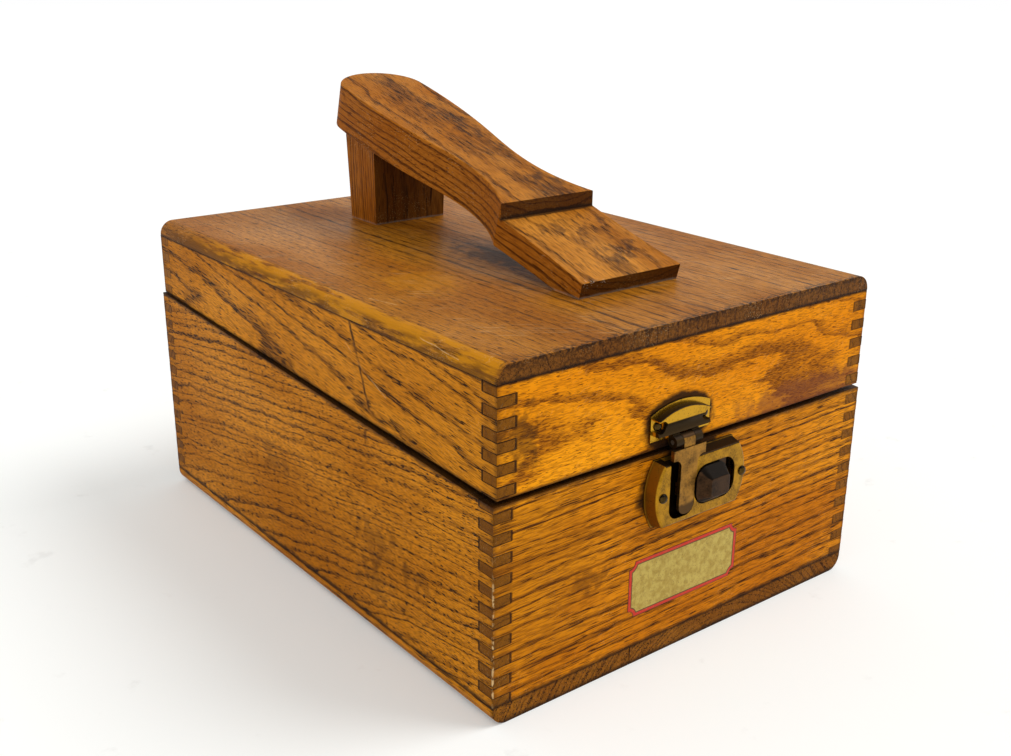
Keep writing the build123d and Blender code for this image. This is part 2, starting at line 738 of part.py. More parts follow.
with BuildPart() as latch_case:
    with BuildSketch(front_plane.offset(case_plate_thickness)):
        add(case_outline(case_draft))
    with BuildSketch(front_plane.offset(case_depth)):
        add(case_outline(0))
    loft(ruled=True)
    case_front = latch_case.faces().sort_by(Axis.Y)[0]
    fillet(case_front.edges(), radius=case_edge_round)
    with BuildSketch(front_plane.offset(case_plate_thickness)):
        add(case_outline(case_draft - case_wall))
    with BuildSketch(front_plane.offset(case_depth - case_wall)):
        add(case_outline(-case_wall))
    loft(ruled=True, mode=Mode.SUBTRACT)
    with BuildSketch(front_plane.offset(case_plate_thickness)) as slot:
        with Locations((slot_right - slot_width / 2, (slot_bottom + slot_top) / 2)):
            Rectangle(slot_width, slot_top - slot_bottom)
        fillet(slot.vertices().group_by(Axis.Y)[0], radius=slot_round)
    extrude(amount=case_depth, mode=Mode.SUBTRACT)
    with BuildSketch(front_plane.offset(case_plate_thickness)):
        with Locations((case_x + button_hole_x, case_z)):
            RectangleRounded(button_hole_width, button_hole_height, button_hole_round)
    extrude(amount=case_depth, mode=Mode.SUBTRACT)
    with Locations(*case_nail_places):
        Cylinder(nail_shank + fastener_clearance, 2 * case_depth, mode=Mode.SUBTRACT)
latch_case.part.label = "latch_case"
export_step(latch_case.part, "parts/latch_case.step")

# The back plate holds the case on the wood. Two rails on it guide the bolt, and its post takes the
# spring and stops the bolt at rest.
bolt_front = case_depth - case_wall - bolt_clearance
bolt_back = bolt_front - bolt_thickness
bolt_left = button_left + button_side_gap
bolt_x = bolt_left + bolt_length / 2
window_x = bolt_left + window_from_left + window_length / 2
post_x = window_x + window_length / 2 - bolt_clearance - spring_post / 2
rail_length = bolt_length + button_travel
rail_x = bolt_x + button_travel / 2
lip_height = bolt_front - case_plate_thickness
ledge_height = bolt_back - bolt_clearance - case_plate_thickness
with BuildPart() as latch_back_plate:
    with BuildSketch(front_plane):
        add(case_outline(case_draft + case_plate_margin))
    extrude(amount=case_plate_thickness)
    for up in (-1, 1):
        lip_z_place = case_z + up * (bolt_height / 2 + bolt_clearance + rail_lip / 2)
        ledge_z_place = case_z + up * (bolt_height / 2 + bolt_clearance - rail_ledge / 2)
        with Locations((rail_x, front_y - case_plate_thickness - lip_height / 2, lip_z_place)):
            Box(rail_length, lip_height, rail_lip)
        with Locations((rail_x, front_y - case_plate_thickness - ledge_height / 2, ledge_z_place)):
            Box(rail_length, ledge_height, rail_ledge)
    with Locations((post_x, front_y - case_plate_thickness - lip_height / 2, case_z)):
        Box(spring_post, lip_height, window_height - 2 * bolt_clearance)
    with Locations(*case_nail_places):
        Cylinder(nail_shank + fastener_clearance, 2 * case_nail_length, mode=Mode.SUBTRACT)
latch_back_plate.part.label = "latch_back_plate"
export_step(latch_back_plate.part, "parts/latch_back_plate.step")

with BuildPart() as latch_case_nails:
    with Locations(*case_nail_places):
        add(round_nail(case_nail_length))
latch_case_nails.part.label = "latch_case_nails"
export_step(latch_case_nails.part, "parts/latch_case_nails.step")

# ---- Bolt, button and spring -----------------------------------------------------------------------
nose_tip = hasp_x + keeper_width / 2 + bolt_clearance
nose_length = bolt_left - nose_tip
with BuildPart() as latch_bolt:
    with Locations((bolt_x, front_y - (bolt_front + bolt_back) / 2, case_z)):
        Box(bolt_length, bolt_thickness, bolt_height)
    with Locations((window_x, front_y - (bolt_front + bolt_back) / 2, case_z)):
        Box(window_length, bolt_thickness, window_height, mode=Mode.SUBTRACT)
    with Locations((nose_tip + nose_length / 2, front_y - bolt_back - bolt_nose_thickness / 2, case_z)):
        Box(nose_length, bolt_nose_thickness, bolt_nose_height)
latch_bolt.part.label = "latch_bolt"
export_step(latch_bolt.part, "parts/latch_bolt.step")

with BuildPart() as latch_button:
    with BuildSketch(front_plane.offset(bolt_front)):
        with Locations((button_x, case_z)):
            RectangleRounded(button_width, button_height, button_corner)
    extrude(amount=button_neck)
    with BuildSketch(front_plane.offset(bolt_front + button_neck)):
        with Locations((button_x, case_z)):
            RectangleRounded(button_width, button_height, button_corner)
    with BuildSketch(front_plane.offset(case_depth + button_proud)):
        with Locations((button_x, case_z)):
            RectangleRounded(button_face_width, button_face_height, button_face_corner)
    loft(ruled=True)
    button_face = latch_button.faces().sort_by(Axis.Y)[0]
    fillet(button_face.edges(), radius=button_edge_round)
latch_button.part.label = "latch_button"
export_step(latch_button.part, "parts/latch_button.step")

spring_left = bolt_left + window_from_left + spring_play
spring_right = post_x - spring_post / 2 - spring_play
spring_depth = (case_plate_thickness + bolt_front) / 2
with BuildPart() as latch_spring:
    with Locations(((spring_left + spring_right) / 2, front_y - spring_depth, case_z)):
        Cylinder(spring_radius, spring_right - spring_left, rotation=along_x)
latch_spring.part.label = "latch_spring"
export_step(latch_spring.part, "parts/latch_spring.step")

# ---- Label -----------------------------------------------------------------------------------------
with BuildPart() as label:
    with BuildSketch(front_plane):
        with Locations((label_x, case_z - label_drop)):
            Rectangle(label_width, label_height)
            with GridLocations(label_width, label_height, 2, 2):
                Circle(label_notch, mode=Mode.SUBTRACT)
    extrude(amount=label_thickness)
label.part.label = "label"
export_step(label.part, "parts/label.step")

rest_top = step_top + (heel_tip_y - step_y) * upper_rise
print(f"box {box_width} x {box_length}, foot rest top at {rest_top:.1f}")
print(f"front face y {front_y:.2f}, hinge y {hinge_y:.2f} z {hinge_z:.2f}")
print(f"hasp pin y {hasp_pin_y:.2f} z {hasp_pin_z:.2f}")
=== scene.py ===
# %% [markdown]
# # A wooden shoe shine box
#
# This lesson dresses the measured model of an old oak shoe shine box: a finger-jointed case sawn apart on a
# slope, a lid with a shoe-shaped foot rest, and a brass lock with a sliding button. The measured parts arrive
# as a fixed frame, in metres. We keep their places, ease their edges, and give each one a finish made from
# shader nodes, because nodes stay sharp at any distance and need no picture files.

# %% load the measured parts
import json
from math import cos, pi, radians, sin

import bmesh
import bpy
from mathutils import Matrix, Vector


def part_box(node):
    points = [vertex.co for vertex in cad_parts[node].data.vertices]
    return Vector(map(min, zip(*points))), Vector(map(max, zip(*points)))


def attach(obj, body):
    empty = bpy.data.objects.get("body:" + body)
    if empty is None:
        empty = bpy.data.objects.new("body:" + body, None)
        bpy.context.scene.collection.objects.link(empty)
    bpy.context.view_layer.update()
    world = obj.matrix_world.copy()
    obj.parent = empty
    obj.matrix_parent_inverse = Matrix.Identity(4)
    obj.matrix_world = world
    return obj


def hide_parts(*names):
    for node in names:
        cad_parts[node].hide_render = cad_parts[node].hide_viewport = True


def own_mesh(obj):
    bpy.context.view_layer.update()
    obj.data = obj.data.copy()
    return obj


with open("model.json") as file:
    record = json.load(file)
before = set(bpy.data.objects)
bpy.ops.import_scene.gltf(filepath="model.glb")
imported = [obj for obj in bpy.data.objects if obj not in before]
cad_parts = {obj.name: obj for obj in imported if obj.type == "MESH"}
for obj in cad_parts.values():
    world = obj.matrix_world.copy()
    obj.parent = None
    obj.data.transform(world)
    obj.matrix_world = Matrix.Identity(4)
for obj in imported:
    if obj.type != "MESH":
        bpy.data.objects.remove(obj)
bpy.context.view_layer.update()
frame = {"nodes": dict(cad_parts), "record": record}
nodes = frame["nodes"]
BODY_OF = {node: body for body, members in frame["record"]["behaviour"]["bodies"].items() for node in members}
SLOT_OF = {part["node"]: part["material_slot"] for part in frame["record"]["subparts"]}
MM = 0.001


def stand(name, data):
    """A new object in the scene, at the origin."""
    thing = bpy.data.objects.new(name, data)
    bpy.context.scene.collection.objects.link(thing)
    return thing


# %% [markdown]
# ## Where the camera stands
#
# The photographer held the camera about half a metre from the near corner of the box and looked down by
# twenty degrees. A camera in Blender looks along its own -Z with +Y up, so we work out three directions
# (ahead, right and up) and write them into its matrix. A small roll tilts the picture by half a degree.

# %% set up the camera
turn, look_down, roll = radians(38.2613), radians(19.6932), radians(0.482)
standpoint = (-0.3792, -0.4942, 0.3112)
ahead = Vector((sin(turn) * cos(look_down), cos(turn) * cos(look_down), -sin(look_down)))
level_right = Vector((cos(turn), -sin(turn), 0))
level_up = level_right.cross(ahead)
right = level_right * cos(roll) + level_up * sin(roll)
up = level_up * cos(roll) - level_right * sin(roll)

camera_data = bpy.data.cameras.new("photo_camera")
camera_data.sensor_width = 36
camera_data.lens = 42.886
camera_data.clip_start = 0.01
camera = stand("photo_camera", camera_data)
camera.matrix_world = Matrix.Translation(standpoint) @ Matrix((right, up, -ahead)).transposed().to_4x4()
bpy.context.scene.camera = camera
bpy.context.scene.view_settings.view_transform = "Standard"
print("the camera looks along", tuple(round(v, 3) for v in ahead))

# %% [markdown]
# ## Small helpers for nodes
#
# A finish here is a chain of many small nodes. Adding each by hand takes four lines, so these helpers make a
# node, fill its inputs and hand back its output. A value may be a plain number or another node's output.
# `paint` turns the familiar 0-255 colour numbers into the linear light values that Blender works with.

# %% helpers that add one node
def paint(*screen):
    """A colour as read on a screen (red, green, blue), turned into Blender's linear values."""
    linear = [((v / 255 + 0.055) / 1.055) ** 2.4 if v > 10 else v / 255 / 12.92 for v in screen]
    return (*linear, 1)


def fill(tree, socket, value):
    """Links an output to a socket, or sets the socket to a plain value."""
    if isinstance(value, bpy.types.NodeSocket):
        tree.links.new(value, socket)
    elif value is not None:
        socket.default_value = value


def add_node(tree, kind, values=(), **settings):
    """A new node with its settings made and its inputs filled by name or number."""
    node = tree.nodes.new(kind)
    for name, value in settings.items():
        setattr(node, name, value)
    for name, value in dict(values).items():
        fill(tree, node.inputs[name], value)
    return node


def calc(tree, operation, a, b=None, c=None):
    """One step of arithmetic on numbers."""
    return add_node(tree, "ShaderNodeMath", {0: a, 1: b, 2: c}, operation=operation).outputs[0]


def arrow(tree, operation, a, b=None, c=None):
    """One step of arithmetic on vectors."""
    node = add_node(tree, "ShaderNodeVectorMath", {0: a, 1: b, 2: c}, operation=operation)
    return node.outputs["Value" if operation in ("DOT_PRODUCT", "LENGTH") else "Vector"]


def scale(tree, vector, by):
    """A vector made longer or shorter by a number."""
    return add_node(tree, "ShaderNodeVectorMath", {0: vector, "Scale": by}, operation="SCALE").outputs[0]


def split(tree, vector):
    """The X, Y and Z of a vector."""
    return add_node(tree, "ShaderNodeSeparateXYZ", {0: vector}).outputs


def combine(tree, x=0.0, y=0.0, z=0.0):
    """Three numbers as one vector."""
    return add_node(tree, "ShaderNodeCombineXYZ", {0: x, 1: y, 2: z}).outputs[0]


def fade(tree, value, start, end, low=0.0, high=1.0):
    """Low before start, high after end, and a smooth slope between them."""
    limits = {"Value": value, "From Min": start, "From Max": end, "To Min": low, "To Max": high}
    return add_node(tree, "ShaderNodeMapRange", limits, interpolation_type="SMOOTHSTEP").outputs["Result"]


def mix(tree, mask, first, second):
    """Two colours, mixed by a mask."""
    return add_node(tree, "ShaderNodeMix", {0: mask, 6: first, 7: second}, data_type="RGBA").outputs[2]


# %% helpers built from those
def times(tree, product, *factors):
    """The product of some numbers."""
    for factor in factors:
        product = calc(tree, "MULTIPLY", product, factor)
    return product


def minus(tree, a, b):
    """The difference of two numbers."""
    return calc(tree, "SUBTRACT", a, b)


def mapped(tree, place, shift=(0, 0, 0), turned=(0, 0, 0), finer=(1, 1, 1)):
    """A place scaled by `finer`, then turned, then shifted."""
    facts = {"Vector": place, "Location": shift, "Rotation": turned, "Scale": finer}
    return add_node(tree, "ShaderNodeMapping", facts).outputs[0]


def cloud(tree, place, size, detail=2.0, stretch=(1, 1, 1), shift=(0, 0, 0), output="Fac"):
    """Soft random noise with blots about `size` across, stretched and shifted."""
    scaled = mapped(tree, place, shift, finer=[1 / size / s for s in stretch])
    facts = {"Vector": scaled, "Scale": 1.0, "Detail": detail, "Roughness": 0.55}
    return add_node(tree, "ShaderNodeTexNoise", facts).outputs[output]


def wander_by(tree, place, size, stretch=(1, 1, 1)):
    """A random direction at each place, from the three colours of a noise."""
    return arrow(tree, "SUBTRACT", cloud(tree, place, size, 2.0, stretch, output="Color"), (0.5, 0.5, 0.5))


def drawn_out(tree, place, length, width):
    """A place squeezed along X by a length and across by a width, where plain noise turns into threads."""
    x, y, z = split(tree, place)
    return combine(tree, *(calc(tree, "DIVIDE", a, b) for a, b in ((x, length), (y, width), (z, width))))


def depth_inside(tree, place, middle, half_size):
    """How far a place lies inside a box, measured along X, Y and Z."""
    from_middle = arrow(tree, "ABSOLUTE", arrow(tree, "SUBTRACT", place, middle))
    return split(tree, arrow(tree, "SUBTRACT", half_size, from_middle))


# %% helpers for groups and materials
def name_inputs(tree, inputs):
    """Names a tree's inputs. The first value of each says its kind, and None stands for a material."""
    kinds = {tuple: "NodeSocketVector", float: "NodeSocketFloat", type(None): "NodeSocketMaterial"}
    for label, value in inputs.items():
        socket = tree.interface.new_socket(label, in_out="INPUT", socket_type=kinds[type(value)])
        if value is not None:
            socket.default_value = value


def new_group(name, inputs, *outputs):
    """An empty shader group with named inputs and number outputs, and its two end nodes."""
    group = bpy.data.node_groups.new(name, "ShaderNodeTree")
    name_inputs(group, inputs)
    for label in outputs:
        group.interface.new_socket(label, in_out="OUTPUT", socket_type="NodeSocketFloat")
    return group, group.nodes.new("NodeGroupInput").outputs, group.nodes.new("NodeGroupOutput").inputs


def use(tree, group, **values):
    """A group placed in a tree. Its inputs are named with _ for each space."""
    node = add_node(tree, "ShaderNodeGroup", node_tree=group)
    for name, value in values.items():
        fill(tree, node.inputs[name.replace("_", " ")], value)
    return node.outputs


def new_finish(name):
    """A new material: its tree, its Principled shader, and the part's own coordinates in millimetres."""
    material = bpy.data.materials.new(name)
    material.use_nodes = True
    tree = material.node_tree
    coordinates = add_node(tree, "ShaderNodeTexCoord")
    place = arrow(tree, "MULTIPLY", coordinates.outputs["Object"], (1000, 1000, 1000))
    return material, tree, tree.nodes["Principled BSDF"], place, coordinates.outputs["Normal"]


def add_bump(tree, shader, height, strength, distance):
    """Fine relief on a finish, with its height in metres."""
    bump = add_node(tree, "ShaderNodeBump", {"Height": height, "Strength": strength, "Distance": distance})
    fill(tree, shader.inputs["Normal"], bump.outputs[0])


ORIGIN, UNIT = (0, 0, 0), (1, 1, 1)
print("helpers ready")

# %% [markdown]
# ## How oak grows
#
# Oak is ring-porous: each year's ring starts with a band of wide, open pores that look like short dark dashes
# along the grain, and ends in smooth, dense wood. A board is a slice through those nested tubes, so straight
# lines, waves and pointed flames are all the same solid pattern, cut at different slants. A flat picture
# could not wrap round a board's corner; a solid pattern gives long dashes on the face and dots on the end.
# In this group X runs along the grain and the middle of the tree lies on Y = Z = 0.

# %% the oak group
oak, given, made = new_group(
    "oak_grain",
    {
        "Place": ORIGIN, "Ring Width": 4.0, "First Year": 0.0, "Fading": 0.6, "Wander": 4.0,
        "Pore Length": 7.0, "Pore Width": 0.42,
    },
    "Band", "Pores", "Fibre", "Height",
)
place = given["Place"]
bend = scale(oak, wander_by(oak, place, 24, (2.6, 1, 1)), given["Wander"])
tree_place = arrow(oak, "MULTIPLY", arrow(oak, "ADD", place, bend), (0, 1, 1))
age = calc(oak, "DIVIDE", arrow(oak, "LENGTH", tree_place), given["Ring Width"])
uneven = add_node(oak, "ShaderNodeTexNoise", {"W": age, "Scale": 0.6, "Detail": 1.0}, noise_dimensions="1D")
age = calc(oak, "ADD", calc(oak, "MULTIPLY_ADD", uneven.outputs[0], 1.6, age), given["First Year"])
torn = cloud(oak, place, 1.7, 2.0, stretch=(11, 1, 1), shift=(4, 4, 4))
age = calc(oak, "MULTIPLY_ADD", torn, 0.5, age)
year = calc(oak, "FRACT", age)
vigour = add_node(oak, "ShaderNodeTexWhiteNoise", {"W": calc(oak, "FLOOR", age)}, noise_dimensions="1D")
band = times(
    oak, fade(oak, year, 0.0, 0.10), fade(oak, year, 0.15, given["Fading"], 1.0, 0.0),
    fade(oak, vigour.outputs["Value"], 0.0, 1.0, 0.6, 1.0),
)
fill(oak, made["Band"], band)

# %% [markdown]
# The pores are noise squeezed into thin threads along the grain. Where the early band is strong, more of the
# noise passes the gate, so the dashes crowd together there and thin out in the smooth late wood.

# %% pores and fibre
thin = drawn_out(oak, place, given["Pore Length"], given["Pore Width"])
threads = add_node(oak, "ShaderNodeTexNoise", {"Vector": thin, "Scale": 0.6, "Detail": 0.6, "Roughness": 0.5})
gate = calc(oak, "MULTIPLY_ADD", band, -0.18, 0.655)
pores = fade(oak, minus(oak, threads.outputs[0], gate), 0.0, 0.05)
fibre = fade(oak, cloud(oak, place, 0.62, 1.5, stretch=(11, 1, 1), shift=(3, 5, 9)), 0.42, 0.64)
height = calc(oak, "MULTIPLY_ADD", pores, -0.8, times(oak, fibre, 0.5))
fill(oak, made["Pores"], pores)
fill(oak, made["Fibre"], fibre)
fill(oak, made["Height"], calc(oak, "MULTIPLY_ADD", band, -0.25, height))
print("oak group:", len(oak.nodes), "nodes")

# %% [markdown]
# ## Dirty edges, joints, stains and scratches
#
# Hands, brushes and shoe polish leave the same kinds of marks all over the box, so each kind is a group that
# any finish can use. The edge group looks at how near a place is to two outer faces of its box at once. The
# joint group draws the dark line round each finger of the corners. A stain is a blot with a ragged rim, and
# scratches are short dashes: the few places where a long, narrow noise rises near its top.

# %% the edge group
edge, given, made = new_group(
    "edge_wear", {"Place": ORIGIN, "Middle": ORIGIN, "Half Size": UNIT, "Width": 2.0}, "Near"
)
inset = depth_inside(edge, given["Place"], given["Middle"], given["Half Size"])
smaller, larger = calc(edge, "MINIMUM", inset[0], inset[1]), calc(edge, "MAXIMUM", inset[0], inset[1])
second = calc(edge, "MAXIMUM", smaller, calc(edge, "MINIMUM", larger, inset[2]))
ragged = calc(edge, "MULTIPLY_ADD", cloud(edge, given["Place"], 5, 4.0), 5.0, minus(edge, second, 2.6))
from_edge = calc(edge, "DIVIDE", calc(edge, "MULTIPLY_ADD", ragged, 0.4, second), given["Width"])
fill(edge, made["Near"], fade(edge, from_edge, 0.0, 1.0, 1.0, 0.0))

# %% the finger joint group
WALL, FINGER = 9.5, 4.7625
joint, given, made = new_group(
    "finger_joint_lines",
    {"Place": ORIGIN, "Middle": ORIGIN, "Half Size": UNIT, "Finger": FINGER, "Wall": WALL, "Width": 0.45},
    "Lines", "Zone",
)
place, finger, wall = given["Place"], given["Finger"], given["Wall"]
row = calc(joint, "DIVIDE", split(joint, arrow(joint, "SUBTRACT", place, given["Middle"]))[2], finger)
inset = depth_inside(joint, place, given["Middle"], given["Half Size"])
deepest = calc(joint, "MAXIMUM", inset[0], inset[1])
wobble = times(joint, cloud(joint, place, 3, 3.0), given["Width"])
to_row_line = times(joint, calc(joint, "PINGPONG", row, 0.5), finger)
across = minus(joint, 1.0, fade(joint, minus(joint, to_row_line, wobble), -0.1, 0.12))
in_zone = calc(joint, "LESS_THAN", deepest, calc(joint, "ADD", wall, 0.2))
odd = calc(joint, "GREATER_THAN", calc(joint, "PINGPONG", calc(joint, "FLOOR", row), 1.0), 0.5)
facing_front = calc(joint, "GREATER_THAN", inset[0], inset[1])
owner = calc(joint, "ABSOLUTE", minus(joint, odd, facing_front))
past_wall = minus(joint, deepest, wall)
to_end = calc(joint, "ABSOLUTE", past_wall)
down = minus(joint, 1.0, fade(joint, minus(joint, to_end, wobble), 0.25, 0.55))
fill(joint, made["Lines"], calc(joint, "MAXIMUM", times(joint, across, in_zone), times(joint, down, owner)))
fill(joint, made["Zone"], fade(joint, calc(joint, "MULTIPLY_ADD", wobble, 6.0, past_wall), 3.5, -1.0))

# %% the stain and scratch groups
stain, given, made = new_group(
    "stain", {"Place": ORIGIN, "Middle": ORIGIN, "Reach": (10, 10, 10), "Ragged": 0.8, "Core": 0.45}, "Mask"
)
away = arrow(stain, "DIVIDE", arrow(stain, "SUBTRACT", given["Place"], given["Middle"]), given["Reach"])
away = arrow(stain, "LENGTH", away)
blots = minus(stain, cloud(stain, given["Place"], 7, 6.0), 0.5)
away = calc(stain, "MULTIPLY_ADD", blots, times(stain, given["Ragged"], -2.5), away)
fill(stain, made["Mask"], fade(stain, away, given["Core"], 1.1, 1.0, 0.0))

scratches, given, made = new_group("scratches", {"Place": ORIGIN, "Length": 20.0, "Width": 0.5}, "Marks")
drawn = drawn_out(scratches, given["Place"], given["Length"], given["Width"])
field = add_node(scratches, "ShaderNodeTexNoise", {"Vector": drawn, "Scale": 1.0, "Detail": 0.0})
line = fade(scratches, field.outputs[0], 0.69, 0.74)
patchy = fade(scratches, cloud(scratches, given["Place"], 23, 2.0, shift=(7, 1, 4)), 0.46, 0.62)
fill(scratches, made["Marks"], times(scratches, line, patchy))
print("groups:", [g.name for g in bpy.data.node_groups])

# %% [markdown]
# ## One recipe for every board
#
# All boards came from the same kind of oak but each was cut from its own place in a tree, so one recipe takes
# the board's direction, the place of the tree's middle and its own tones. It lays the finish down in coats:
# bare wood, year bands, darkened end grain, pores, grime along the edges, the joints, and last the marks of
# that one board. A `Coat` holds the colour so far and what the next layer may depend on.

# %% sizes in millimetres, and colours
FRONT, REAR, MIDDLE_Y, LENGTH = -154.3, 161.8, 3.75, 316.1
BASE_SIDE, LID_SIDE = 116.7, 115.1
BASE_FRONT_RIM, BASE_REAR_RIM, LID_FRONT_RIM, LID_REAR_RIM = 102.6, 120, 105, 120.4
TOP_SEAM, LID_TOP = 153.8, 161.8
LID_FINGER_ROWS = 22
NO_LIMIT = 500  # the joint lines know no top or bottom
BASE_BOX = Vector((-BASE_SIDE, FRONT, 0)), Vector((BASE_SIDE, REAR, BASE_REAR_RIM))
LID_BOX = Vector((-LID_SIDE, FRONT, LID_FRONT_RIM)), Vector((LID_SIDE, REAR, LID_TOP))
BASE_JOINTS = Vector((0, MIDDLE_Y, WALL)), Vector((BASE_SIDE, LENGTH / 2, NO_LIMIT))
LID_ROW_LEVEL = TOP_SEAM - LID_FINGER_ROWS * FINGER
LID_JOINTS = Vector((0, MIDDLE_Y, LID_ROW_LEVEL)), Vector((LID_SIDE, LENGTH / 2, NO_LIMIT))


def wood_tones(light, deep, band, pore):
    """The four colours of one kind of oak."""
    return {"light": paint(*light), "deep": paint(*deep), "band": paint(*band), "pore": paint(*pore)}


LID_FRONT_OAK = wood_tones((246, 158, 12), (226, 134, 2), (148, 82, 6), (112, 58, 2))
BASE_FRONT_OAK = wood_tones((230, 144, 10), (194, 110, 2), (100, 52, 0), (58, 26, 0))
SIDE_OAK = wood_tones((218, 138, 20), (186, 110, 8), (112, 62, 4), (34, 16, 0))
TOP_OAK = wood_tones((186, 120, 31), (155, 90, 11), (86, 48, 8), (46, 22, 2))
REST_OAK = wood_tones((200, 130, 44), (166, 96, 18), (88, 44, 4), (32, 14, 0))
END_OAK = [paint(56, 30, 7), paint(108, 63, 20)]
CORNER_OAK = paint(108, 64, 8)
# a near-black for grime and dark joints, and for painted shade in gaps, crevices and round the metal
BLACK_GRIME_AND_SHADE = paint(30, 17, 9)
RAW_WOOD = paint(232, 196, 140)
DUST = paint(206, 198, 184)


# %% the coat
class Coat:
    """The colour of a finish so far, with the place, normal and wood that its next layers depend on."""

    def __init__(self, tree, place, normal, colour, wood=None):
        self.tree, self.place, self.normal, self.colour, self.wood = tree, place, normal, colour, wood
        self.x, self.y, self.z = split(tree, place)

    def lay(self, tone, *masks):
        """Lays a tone on, as strongly as the product of some masks and strengths."""
        self.colour = mix(self.tree, times(self.tree, *masks), self.colour, tone)

    def fade(self, value, *limits):
        """A smooth step in this finish's tree."""
        return fade(self.tree, value, *limits)

    def cloud(self, *facts, **more):
        """Noise at this finish's places."""
        return cloud(self.tree, self.place, *facts, **more)

    def facing(self, direction):
        """How squarely the surface faces a direction."""
        return arrow(self.tree, "DOT_PRODUCT", self.normal, direction)


# %% the board recipe
def oak_board(
    name, turned, middle, ring, wander, grain, tones, box, joints=None, pores=(7.0, 0.42), bands=0.62,
    fading=0.6, year=0.0, ends=0.62, grimy=0.5, shine=(0.45, 0.05), after=None,
):
    """An oak finish. `turned` lays the grain along X, and `middle` then moves the tree's middle to the
    origin. `shine` is the roughness and the reflection's strength, and `after` lays the board's marks."""
    material, tree, shader, place, normal = new_finish(name)
    wood = use(
        tree, oak, Place=mapped(tree, place, middle, turned), Ring_Width=ring, First_Year=year,
        Fading=fading, Wander=wander, Pore_Length=pores[0], Pore_Width=pores[1],
    )
    blotches = cloud(tree, place, 42, 3.0, stretch=[1 + 2 * abs(v) for v in grain])
    bare = mix(tree, fade(tree, blotches, 0.32, 0.68), tones["light"], tones["deep"])
    coat = Coat(tree, place, normal, bare, wood)
    coat.lay(tones["band"], wood["Fibre"], 0.48)
    coat.lay(tones["band"], wood["Band"], bands)
    end = coat.fade(calc(tree, "ABSOLUTE", coat.facing(grain)), 0.55, 0.9)
    coat.lay(mix(tree, coat.fade(coat.cloud(1.2, 3.0), 0.35, 0.65), *END_OAK), end, ends)
    coat.lay(tones["pore"], wood["Pores"], 0.92)
    low, high = box
    edges = use(tree, edge, Place=place, Middle=(low + high) / 2, Half_Size=(high - low) / 2, Width=4.0)
    coat.lay(tones["pore"], edges["Near"], grimy)
    if joints is not None:
        fingers = use(tree, joint, Place=place, Middle=joints[0], Half_Size=joints[1])
        cleaner = times(tree, coat.fade(coat.x, 60, 105, 1.0, 0.5), coat.fade(coat.y, 60, 140, 1.0, 0.6))
        cut_ends = times(tree, calc(tree, "MULTIPLY_ADD", end, 0.42, 0.22), cleaner)
        coat.lay(CORNER_OAK, fingers["Zone"], cut_ends)
        coat.lay(BLACK_GRIME_AND_SHADE, fingers["Lines"], times(tree, cleaner, 0.82))
    if after is not None:
        after(coat)
    fill(tree, shader.inputs["Base Color"], coat.colour)
    fill(tree, shader.inputs["Roughness"], fade(tree, blotches, 0.3, 0.7, shine[0], shine[0] + 0.14))
    shader.inputs["Specular IOR Level"].default_value = shine[1]
    add_bump(tree, shader, wood["Height"], 0.45, 0.0003)
    return material


# %% [markdown]
# ## Marks of use
#
# Shoe polish and dust gather in the same places on every board: low down, under the lid's rim and beside the
# seams. Along the gap at the rim the dark band is painted shade as well as polish. The helpers below each lay
# one kind of mark on a coat: a band of grime and painted shade, dashes of bare wood along a corner, a stain,
# scratches, a dark rim of painted shadow and polish round the metal, a single line, loose specks, and short
# dark streaks.

# %% bands, corners and stains
def grime_and_shade_at(coat, level, reach, strength, slope=0.0, tone=BLACK_GRIME_AND_SHADE):
    """A band of `tone` within `reach` of a line at height `level` (at Y = 0), which climbs by `slope` along
    Y: grime along the seams, and painted shade along the gap at the lid's rim.
    """
    tree = coat.tree
    line = calc(tree, "MULTIPLY_ADD", coat.y, slope, level)
    off = calc(tree, "ADD", calc(tree, "ABSOLUTE", minus(tree, coat.z, line)), 0.5 * reach)
    off = calc(tree, "MULTIPLY_ADD", coat.cloud(7, 4.0), -1.2 * reach, off)
    coat.lay(tone, minus(tree, 1.0, coat.fade(off, 0.0, reach)), strength)


def corner_wear(coat, side, bottom, top):
    """Bare pale wood in dashes along the upright front corner at x = `side`."""
    tree = coat.tree
    from_side = calc(tree, "ABSOLUTE", minus(tree, coat.x, side))
    from_front = calc(tree, "ABSOLUTE", calc(tree, "ADD", coat.y, -FRONT))
    close = coat.fade(calc(tree, "MAXIMUM", from_side, from_front), 0.9, 0.3)
    dashes = coat.fade(coat.cloud(2.0, 5.0, stretch=(1, 1, 1.8), shift=(1, 2, 3)), 0.47, 0.58, 0.0, 0.8)
    reach = times(tree, coat.fade(coat.z, bottom, bottom + 8), coat.fade(coat.z, top, top - 30))
    coat.lay(RAW_WOOD, close, dashes, reach)


def blot(coat, middle, reach, **more):
    """The mask of one stain."""
    return use(coat.tree, stain, Place=coat.place, Middle=middle, Reach=reach, **more)["Mask"]


def tinted_blot_at(coat, middle, reach, strength, tone, ragged=0.8):
    """A blot of its own colour at one place of a board: mostly a stain, and in the foot rest's step painted
    shade.
    """
    coat.lay(tone, blot(coat, middle, reach, Ragged=ragged), strength)


def shade_and_polish_around(coat, node, spread, strength):
    """A narrow dark rim around a metal part: the metal's painted shadow on the wood, and old polish."""
    low, high = (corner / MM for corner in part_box(node))
    reach = (high - low) / 2 + Vector((spread, spread, spread))
    middle = Vector(((low.x + high.x) / 2, FRONT, (low.z + high.z) / 2))
    coat.lay(BLACK_GRIME_AND_SHADE, blot(coat, middle, reach, Ragged=0.15, Core=0.90), strength)


# %% scratches, lines and specks
def scratch_over(coat, turned, length, width, strength):
    """Light scratches that run mostly one way."""
    direction = mapped(coat.tree, coat.place, turned=turned)
    marks = use(coat.tree, scratches, Place=direction, Length=length, Width=width)["Marks"]
    coat.lay(RAW_WOOD, marks, strength)


